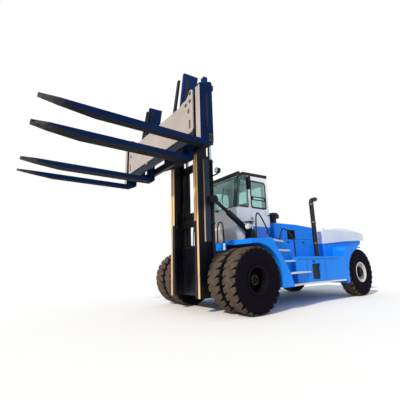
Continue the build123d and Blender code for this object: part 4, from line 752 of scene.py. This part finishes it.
# %% Tint between the panes
tint = surface("pane_edge_tint", (0.045, 0.115, 0.100), (0.060, 0.140, 0.120), 0.15, None, 0.0, bump=0.0,
               coat=0.4)
pane_edges = [
    both(plate([(-384, 2905), (-432, 2905), (-551, 3815), (-512, 3850)], on_side)),
    both(plate([(776, 2905), (879, 2905), (879, 3880), (776, 3880)], on_front)),
    both(plate([(-866, 3818), (-556, 3818), (-545, 3846), (-700, 3948), (-866, 3956)], on_side)),
    plate([(-879, 3846), (879, 3846), (879, 3892), (-879, 3892)], on_front),
    plate([(-848, 0.02), (848, 0.02), (848, 0.94), (-848, 0.94)], on_brow),
]
add_piece("cab_pane_edges", pane_edges, "chassis", "glass_green", [tint])
add_piece("cab_seals", cab_seals, "chassis", "trim_black")
print("tinted plates", len(pane_edges))

# %% Trim the door and fit the wiper
GRIP = [(-985, 884, 2420), (-985, 925, 2420), (-985, 925, 2620), (-985, 884, 2620)]
handle = tube(rounded_path(row(GRIP)), 0.013)
BAR, END = (0.62, 0.016, 0.030), (0.06, 0.016, 0.10)
slider = boxes(row([(-1345, 898, 3290), (-1345, 898, 3195), (-1630, 898, 3242), (-1060, 898, 3242)]),
               [BAR, BAR, END, END])
add_piece("door_trim", [door_seal, handle, slider], "door", "trim_black")
wiper_arm = tube(row([(-352, 0, 2905), (-385, 120, 3200), (-408, 250, 3420)]), 0.009, guide=(1, 0, 0))
wiper_blade = tube(row([(-382, 235, 3130), (-432, 265, 3640)]), 0.011, guide=(1, 0, 0))
wiper_hub = copies(stud(0.035, 0.04, "x", 20), row([(-362, 0, 2900)]))
add_piece("screen_wiper", [wiper_arm, wiper_blade, wiper_hub], "chassis", "trim_black")
print("slider points", len(slider[0]), "wiper blade points", len(wiper_blade[0]))

# %% [markdown]
# ## Handrails, lamps and mirrors
# Rails are bent from steel tube, so each is a circle carried along a path whose corners are rounded by
# cutting them off again and again. A lamp has a turned bowl, a bezel and a crowned lens. A mirror is a
# superellipsoid, which is a box with soft corners, and its glass is a thinner one.

# %% Bend the rails
RAILS = (  # front shelf, cab side, stairs
    [(450, 1200, 1788), (450, 1200, 2350), (450, 950, 2350), (450, 950, 1788)],
    [(-440, 1535, 1880), (-468, 1535, 2640), (-650, 1535, 2600), (-1085, 1535, 1882)],
    [(-1240, 1670, 1850), (-1250, 1715, 2080), (-1400, 1715, 2260), (-1810, 1715, 1960), (-1880, 1690, 1800),
     (-1880, 1685, 1408)],
)
rails = [both(tube(rounded_path(row(r), 4), 0.020, 14, (0.05, 0.9, 0.2))) for r in RAILS]
RAIL_FEET = [(450, 1200, 1790), (450, 950, 1790), (-1880, 1685, 1410)]
feet = both(copies(stud(0.045, 0.012, "z", 24), row(RAIL_FEET)))
add_piece("bent_handrails", [*rails, feet], "chassis", "trim_black", [M["trim_black"]], ["handrails"])
print("rails", 2 * len(rails))


# %% Fit the lamps and mirrors
def lamp(centre, radius, depth):
    """Bowl, bezel and crowned lens of a round lamp that looks forward."""
    r, d = radius, depth
    bowl = [(1e-4, -d), (0.5 * r, -d), (0.8 * r, -0.8 * d), (0.97 * r, -0.35 * d), (r, -0.05 * d),
            (r, 0), (0.88 * r, 0.004), (0.86 * r, -0.006), (1e-4, -0.006)]
    lens = [(1e-4, -0.004), (0.85 * r, -0.004), (0.85 * r, 0.000), (0.6 * r, 0.008), (1e-4, 0.012)]
    return lathe(bowl, centre, 40, "x"), lathe(lens, centre, 40, "x")


glow = surface("lens_clear", (0.78, 0.80, 0.80), (0.86, 0.87, 0.86), 0.12, None, 0.0, grain=90.0, bump=0.3,
               coat=0.6)
WORK_Y, MAST_LAMP = 1250, (540, 1110, 3820)
work = [both(p) for p in lamp(row((-410, WORK_Y, 2290)), 0.095, 0.12)]
POST, VISOR = (0.04, 0.05, 0.52), (0.24, 0.26, 0.014)
posts = both(boxes(row([(-550, WORK_Y, 2130), (-450, WORK_Y, 2402)]), [POST, VISOR]))
add_piece("work_lamps_finished", [work[0], work[1], posts], "chassis", "lamp_cream",
          [M["lamp_cream"], glow, M["trim_black"]], ["work_lamps"])
shelf_lens = both(boxes(row([(474, 1235, 1690)]), [(0.012, 0.07, 0.17)]))
add_piece("shelf_lamps", [shelf_lens], "chassis", "lamp_cream", [glow])
CROWN = [(1e-4, 0.001), (0.064, 0.001), (0.064, 0.006), (0.040, 0.013), (1e-4, 0.016)]
mast_lens = both(lathe(CROWN, row(MAST_LAMP), 32, "x"))
add_piece("mast_lamp_lenses", [mast_lens], "mast", "lamp_cream", [glow])
MIRROR_Y, MIRROR_Z = 1050, 3660
mirror_glass = both(pillow(row((-792, MIRROR_Y, MIRROR_Z)), (0.006, 0.145, 0.37), 0.25, 14, 24))
shell = both(pillow(row((-760, MIRROR_Y, MIRROR_Z)), (0.066, 0.165, 0.41), 0.3, 18, 32))
arms = both(tube(rounded_path(row([(-760, 878, 3880), (-760, 1000, 3880), (-760, MIRROR_Y, 3820)])), 0.013))
add_piece("mirrors_finished", [mirror_glass, shell, arms], "chassis", "trim_black",
          [M["chrome_rod"], M["trim_black"]], ["cab_mirrors"])
print("mast lens points", len(mast_lens[0]), "mirror shell points", len(shell[0]))

# %% [markdown]
# ## Operator seat
# A foam cushion is crowned, and its cover is drawn tight at the seams. Two crowned blocks are swollen a
# little by air pressure in a cloth simulation, and then a lengthwise row of sewn channels is pressed in.

# %% Swell the cushions
VOXEL, PRESSURE, SWELL_STEPS = 0.012, 4.0, 10
SEAM_WIDE, SEAM_DEEP = 0.012, 0.012
fabric = surface("seat_fabric", (0.018, 0.019, 0.024), (0.032, 0.033, 0.040), 0.85, None, 0.0, grain=420.0,
                 bump=0.5)


def cushion(name, centre, size, lean, body):
    """Crowned block, swollen by pressure, pressed in along three seams and leaned about Y."""
    p, f = pillow((0, 0, 0), np.asarray(size) * (0.96, 0.96, 0.9), 0.38, 36, 56)
    mesh = bpy.data.meshes.new(name)
    mesh.from_pydata(p.tolist(), [], outward((p, f))[1].tolist())
    obj = bpy.data.objects.new(name, mesh)
    scene.collection.objects.link(obj)
    even_mesh = obj.modifiers.new("block", "REMESH")
    even_mesh.mode = "VOXEL"
    even_mesh.voxel_size = VOXEL
    soft = obj.modifiers.new("soft", "CLOTH")
    soft.settings.use_pressure = True
    soft.settings.uniform_pressure_force = PRESSURE
    soft.settings.effector_weights.gravity = 0.0
    for step in range(1, SWELL_STEPS + 1):
        scene.frame_set(step)
    done = bpy.data.meshes.new_from_object(obj.evaluated_get(bpy.context.evaluated_depsgraph_get()))
    obj.modifiers.clear()
    obj.data = done
    scene.frame_set(1)
    v = np.empty(len(done.vertices) * 3)
    done.vertices.foreach_get("co", v)
    v = v.reshape(-1, 3)
    half = np.asarray(size) / 2
    v = np.clip(v, -half * 1.05, half * 1.05)
    seam = np.exp(-((np.abs(v[:, 1:2]) % (half[1] * 0.62)) / SEAM_WIDE) ** 2)
    v -= SEAM_DEEP * seam * np.sign(v) * (np.abs(v) > half * 0.7) * (1, 0, 1)
    c, s = math.cos(lean), math.sin(lean)
    x, y, z = v.T
    v = np.stack([c * x + s * z, y, c * z - s * x], axis=-1) + np.asarray(centre)
    done.vertices.foreach_set("co", v.ravel())
    done.polygons.foreach_set("use_smooth", np.ones(len(done.polygons), dtype=bool))
    done.materials.clear()
    done.materials.append(fabric)
    done.update()
    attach(obj, body)
    return obj


squab = cushion("seat_squab", row((-1262, 0, 2520)), (0.50, 0.50, 0.12), 0.0, "chassis")
back = cushion("seat_back", row((-1500, 0, 2960)), (0.12, 0.48, 0.73), -0.106, "chassis")
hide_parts("operator_seat")
base = [boxes(row([(-1300, 0, 2205), (-1270, 0, 2444)]), [(0.34, 0.34, 0.47), (0.48, 0.46, 0.03)])]
add_piece("seat_base", base, "chassis", "dash_plastic")
print("seat cushions", len(squab.data.vertices), len(back.data.vertices), "points")

# %% [markdown]
# ## Leaf chains
# The lift chains are leaf chains: two rows of plates that overlap on every pin. One plate and one pin are
# turned, and copies of them are laid out as a grid of heights and places across the chain.

# %% Link the lift chains
CHAIN_X, CHAIN_Y, CHAIN_LOW, CHAIN_TOP, LINK = 838.0, 250.0, 5300.0, 6370.0, 38.0
PACKING = 0.85  # narrows the spacing of the plates
links = np.arange(CHAIN_LOW + LINK / 2, CHAIN_TOP - LINK, LINK)
leaf = lathe([(1e-4, -0.003), (0.017, -0.003), (0.017, 0.003), (1e-4, 0.003)], (0, 0, 0), 14)
leaf = (leaf[0] * (0.9, 1, 1.75), leaf[1])
pin = lathe([(1e-4, -0.043), (0.008, -0.043), (0.008, 0.043), (1e-4, 0.043)], (0, 0, 0), 10)
even, odd = np.array([-30, -10, 10, 30.0]), np.array([-40, -20, 0, 20, 40.0])


def plates(heights, offsets):
    """Places of link plates: every height with every offset across the chain, on both chains."""
    z, o, y = np.meshgrid(heights, offsets, (CHAIN_Y, -CHAIN_Y), indexing="ij")
    return row(np.stack([CHAIN_X + 0 * z, y + o * PACKING, z], axis=-1).reshape(-1, 3))


inner_leaves = copies(leaf, plates(links[0::2] + LINK / 2, even))
outer_leaves = copies(leaf, plates(links[1::2] + LINK / 2, odd))
pins = copies(pin, plates(links, np.array([0.0])))
add_piece("leaf_chains", [inner_leaves, outer_leaves, pins], "carriage", "chain_steel", [M["chain_steel"]],
          ["carriage_chains"], 30.0)
print("chain plates", (len(inner_leaves[0]) + len(outer_leaves[0])) // len(leaf[0]))

# %% [markdown]
# ## Seams and fasteners
# Sheet panels meet in thin dark gaps, so a seam is a strip that stands a hair proud of the side. Treads
# carry raised bars against slipping, bolt heads are small chamfered prisms, and rings clamp the stack.

# %% Draw the seams and louvres
GAP, PROUD = 0.010, 0.003
SEAMS = (  # middle and size of each strip
    ((-2950, 1001, 2010), (2.15, PROUD, GAP)),
    ((-2190, 1001, 2245), (GAP, PROUD, 0.46)),
    ((-3000, 1721, 1330), (2.2, PROUD, GAP)),
    ((-2330, 1721, 1010), (GAP, PROUD, 0.64)),
    ((-3330, 1721, 1010), (GAP, PROUD, 0.64)),
)
seams = both(boxes(row([middle for middle, _ in SEAMS]), [size for _, size in SEAMS]))
blades = [(-2830, 1664, z) for z in np.arange(760, 1180, 45)]
louvres = both(boxes(row(blades), [(0.40, 0.02, 0.022)] * len(blades)))
LATCHES = [(-2480, 1006, 1900), (-3300, 1006, 1900), (-2700, 1727, 1260)]
latches = both(boxes(row(LATCHES), [(0.09, 0.014, 0.05)] * len(LATCHES)))
hatch = both(boxes(row([(-2830, 1662, 955)]), [(0.43, 0.006, 0.46)]))
add_piece("panel_seams", [seams, louvres, latches, hatch], "chassis", "trim_black")
print("seams", 2 * len(SEAMS), "louvre blades", 2 * len(blades))

# %% Set the tread bars, bolts and clamps
TREADS = (  # first x, step, bars, y, z
    (-1180, 40, 12, 1640, 1603),
    (-1180, 50, 12, 1640, 1303),
    (-1430, 60, 14, 1745, 973),
)
bars = [(x - step * k, y, z) for x, step, count, y, z in TREADS for k in range(count)]
treads = both(boxes(row(bars), [(0.012, 0.09, 0.008)] * len(bars)))
add_piece("tread_grip", [treads], "chassis", "step_alloy")
bolt_places = [(x, 741, z) for x in (560, 640, 720, 800) for z in (2700, 2800, 3200, 3300)]
mast_bolts = both(copies(stud(0.020, 0.016), row(bolt_places)))
add_piece("mast_bolts", [mast_bolts], "mast", "mast_navy")
STACK_X, STACK_Y = -3420, 1400
BAND = [(0.080, -0.02), (0.088, -0.02), (0.088, 0.02), (0.080, 0.02)]
clamps = [lathe(BAND, row((STACK_X, STACK_Y, z)), 40, "z") for z in (1850, 2560, 3180)]
add_piece("stack_clamps", clamps, "chassis", "chain_steel")
print("tread bars", 2 * len(bars), "mast bolts", 2 * len(bolt_places), "clamps", len(clamps))

# %% [markdown]
# ## Mast and carriage details
# The backrest posts are deep plates which lean back a little, with a black strip on each side as painted
# shade where a slot would be. A navy rail runs up each side of the mast, its front edge a painted highlight,
# dark bushes line the apron's holes, and the outer forks' shanks have small heads, caps and foot plates. They
# are blocks and rings, so each is given by a few corners.

# %% Shape the posts and the side rails
def block(bottom, top):
    """A six-sided block between two four-cornered ends, given in millimetres."""
    quads = np.array([(0, 3, 2, 1), (4, 5, 6, 7), (0, 1, 5, 4), (1, 2, 6, 5), (2, 3, 7, 6), (3, 0, 4, 7)])
    return row([*bottom, *top]), quads


post = block(
    [(1250, 1045, 5330), (1700, 1045, 5330), (1700, 1125, 5330), (1250, 1125, 5330)],
    [(1100, 1045, 6520), (1565, 1045, 6490), (1565, 1125, 6490), (1100, 1125, 6520)],
)
# Each post carries a thin black strip on both sides: painted shade where a slot would look dark.
slot_shade_strips = [
    both(block([(1490, y, 5560), (1570, y, 5560), (1570, y + 4, 5560), (1490, y + 4, 5560)],
               [(1400, y, 6340), (1480, y, 6340), (1480, y + 4, 6340), (1400, y + 4, 6340)]))
    for y in (1042, 1124)
]
add_piece("backrest_posts_shaped", [both(post), *slot_shade_strips], "carriage", "post_blue",
          [M["post_blue"], M["trim_black"]], ["backrest_posts"])
side_rails = both(boxes(row([(635, 770, 3035)]), [(0.19, 0.06, 2.37)]))
add_piece("mast_side_rails", [side_rails], "mast", "mast_navy", [M["mast_side_navy"]])
print("post points", len(post[0]), "slot_shade_strips", len(slot_shade_strips))

# %% Bush the apron's holes and dress the outer shanks
APRON_FACE, SLOT_HALF = 1890, 26


def on_apron(u, v, n):
    """The apron's front face: u to the left, v up, n outwards."""
    return row(np.stack([APRON_FACE + n, u, v], axis=-1))


BUSH = [(0.0285, 0.0), (0.046, 0.0), (0.046, 0.004), (0.0285, 0.004)]
HOLES = ((1850, 5340), (1845, 5130), (1660, 5100))
bushes = [both(lathe(BUSH, row((APRON_FACE, y, z)), 28, "x")) for y, z in HOLES]
for y, z, reach in ((1780, 4890, 46), (1820, 4530, 96)):
    near, far, low, high = y - SLOT_HALF, y + SLOT_HALF, z - reach, z + reach
    edges = [(near, low), (far, low), (far, high), (near, high)]
    bushes.append(both(seal(edges, on_apron, 18, -1, 0.0, 5.0, 25.9)))
add_piece("apron_bushes", bushes, "carriage", "trim_black")
heads = both(boxes(row([(1690, 2180, 5540)]), [(0.10, 0.13, 0.20)]))
caps = both(block([(1545, 2105, 5480), (1885, 2105, 5340), (1885, 2255, 5340), (1545, 2255, 5480)],
                  [(1545, 2105, 5560), (1885, 2105, 5420), (1885, 2255, 5420), (1545, 2255, 5560)]))
knobs = both(boxes(row([(1505, 2190, 5410), (1600, 2263, 4085), (1690, 2263, 4750)]),
                   [(0.06, 0.12, 0.13), (0.12, 0.006, 0.20), (0.035, 0.006, 0.85)]))
foot_bolts = both(copies(stud(0.016, 0.004), row([(x, 2264, z) for x in (1565, 1635) for z in (4010, 4160)])))
add_piece("shank_fittings", [heads, caps, knobs, foot_bolts], "carriage", "post_blue",
          [M["post_blue"], M["post_blue"], M["trim_black"], M["chain_steel"]])
print("bushes", 2 * len(bushes))

# %% [markdown]
# ## Rear arches and roof edge
# Each rear wheel stands in an arch. A flat panel closes the corner between the mud wall and the arch's
# top, and its lower edge is a quarter of an ellipse round the axle. It stays outside the circle that the
# tyre sweeps when it steers. A dark rim runs along the top edges of the cab.

# %% Close the rear arches
ARCH_LONG, ARCH_HIGH, ARCH_FOOT = 1.00, 0.87, -0.305
WALL_MID, LID_MID, CHAMFER_OUT = 1.12, 0.885, 1.343
PANEL_IN, PANEL_OUT = 1.698, 1.7195


def arch_panel(steps=19):
    """A flat panel from an ellipse, x = a cos t and z = b sin t, out to the wall, its chamfer and the top."""
    t = np.linspace(0, np.pi / 2, steps)
    c, s = np.maximum(np.cos(t), 1e-6), np.maximum(np.sin(t), 1e-6)
    out = np.minimum.reduce([WALL_MID / c, LID_MID / s, CHAMFER_OUT / (0.8 * c + 0.6 * s)])
    u = np.stack([np.append(ARCH_LONG, ARCH_LONG * c), np.append(WALL_MID, out * c)])
    v = np.stack([np.append(ARCH_FOOT, ARCH_HIGH * s), np.append(ARCH_FOOT, out * s)])
    order, n = np.array([0, 1, 1, 0]), steps + 1
    y = np.array([PANEL_IN, PANEL_IN, PANEL_OUT, PANEL_OUT])[:, None] + np.zeros(n)
    points = np.stack([STEER_X + u[order], y, AXLE_Z + v[order]], axis=-1).reshape(-1, 3)
    ends = np.array([(0, n, 2 * n, 3 * n), (4 * n - 1, 3 * n - 1, 2 * n - 1, n - 1)])
    return points, np.concatenate([grid_faces(4, n, wrap_rows=True, wrap_cols=False), ends])


ledge = boxes([(STEER_X + 0.27, 1.4847, 1.7247)], [(0.58, 0.4695, 0.0395)])
add_piece("rear_arch_panels", [both(arch_panel()), both(ledge)], "chassis", "body_blue")
print("arch panels reach", round(ARCH_LONG - TYRE_R, 3), "past the tyre")

# %% Rim the roof
ROOF_LINE = np.array([(CAB_BACK, 4060), ROOF, (-520, 3906)])
rims = []
for (x0, z0), (x1, z1) in zip(ROOF_LINE[:-1], ROOF_LINE[1:]):
    edge = np.array([(x0, 850, z0), (x1, 850, z1), (x1, 886, z1), (x0, 886, z0)])
    rims.append(both(block(edge - (0, 0, 70), edge + (0, 0, 34))))
rims.append(boxes(row([(-1805, 0, 4042)]), [(0.03, 1.72, 0.104)]))
add_piece("roof_rim", rims, "chassis", "trim_black")
print("roof rim strips", 2 * len(rims) - 1)
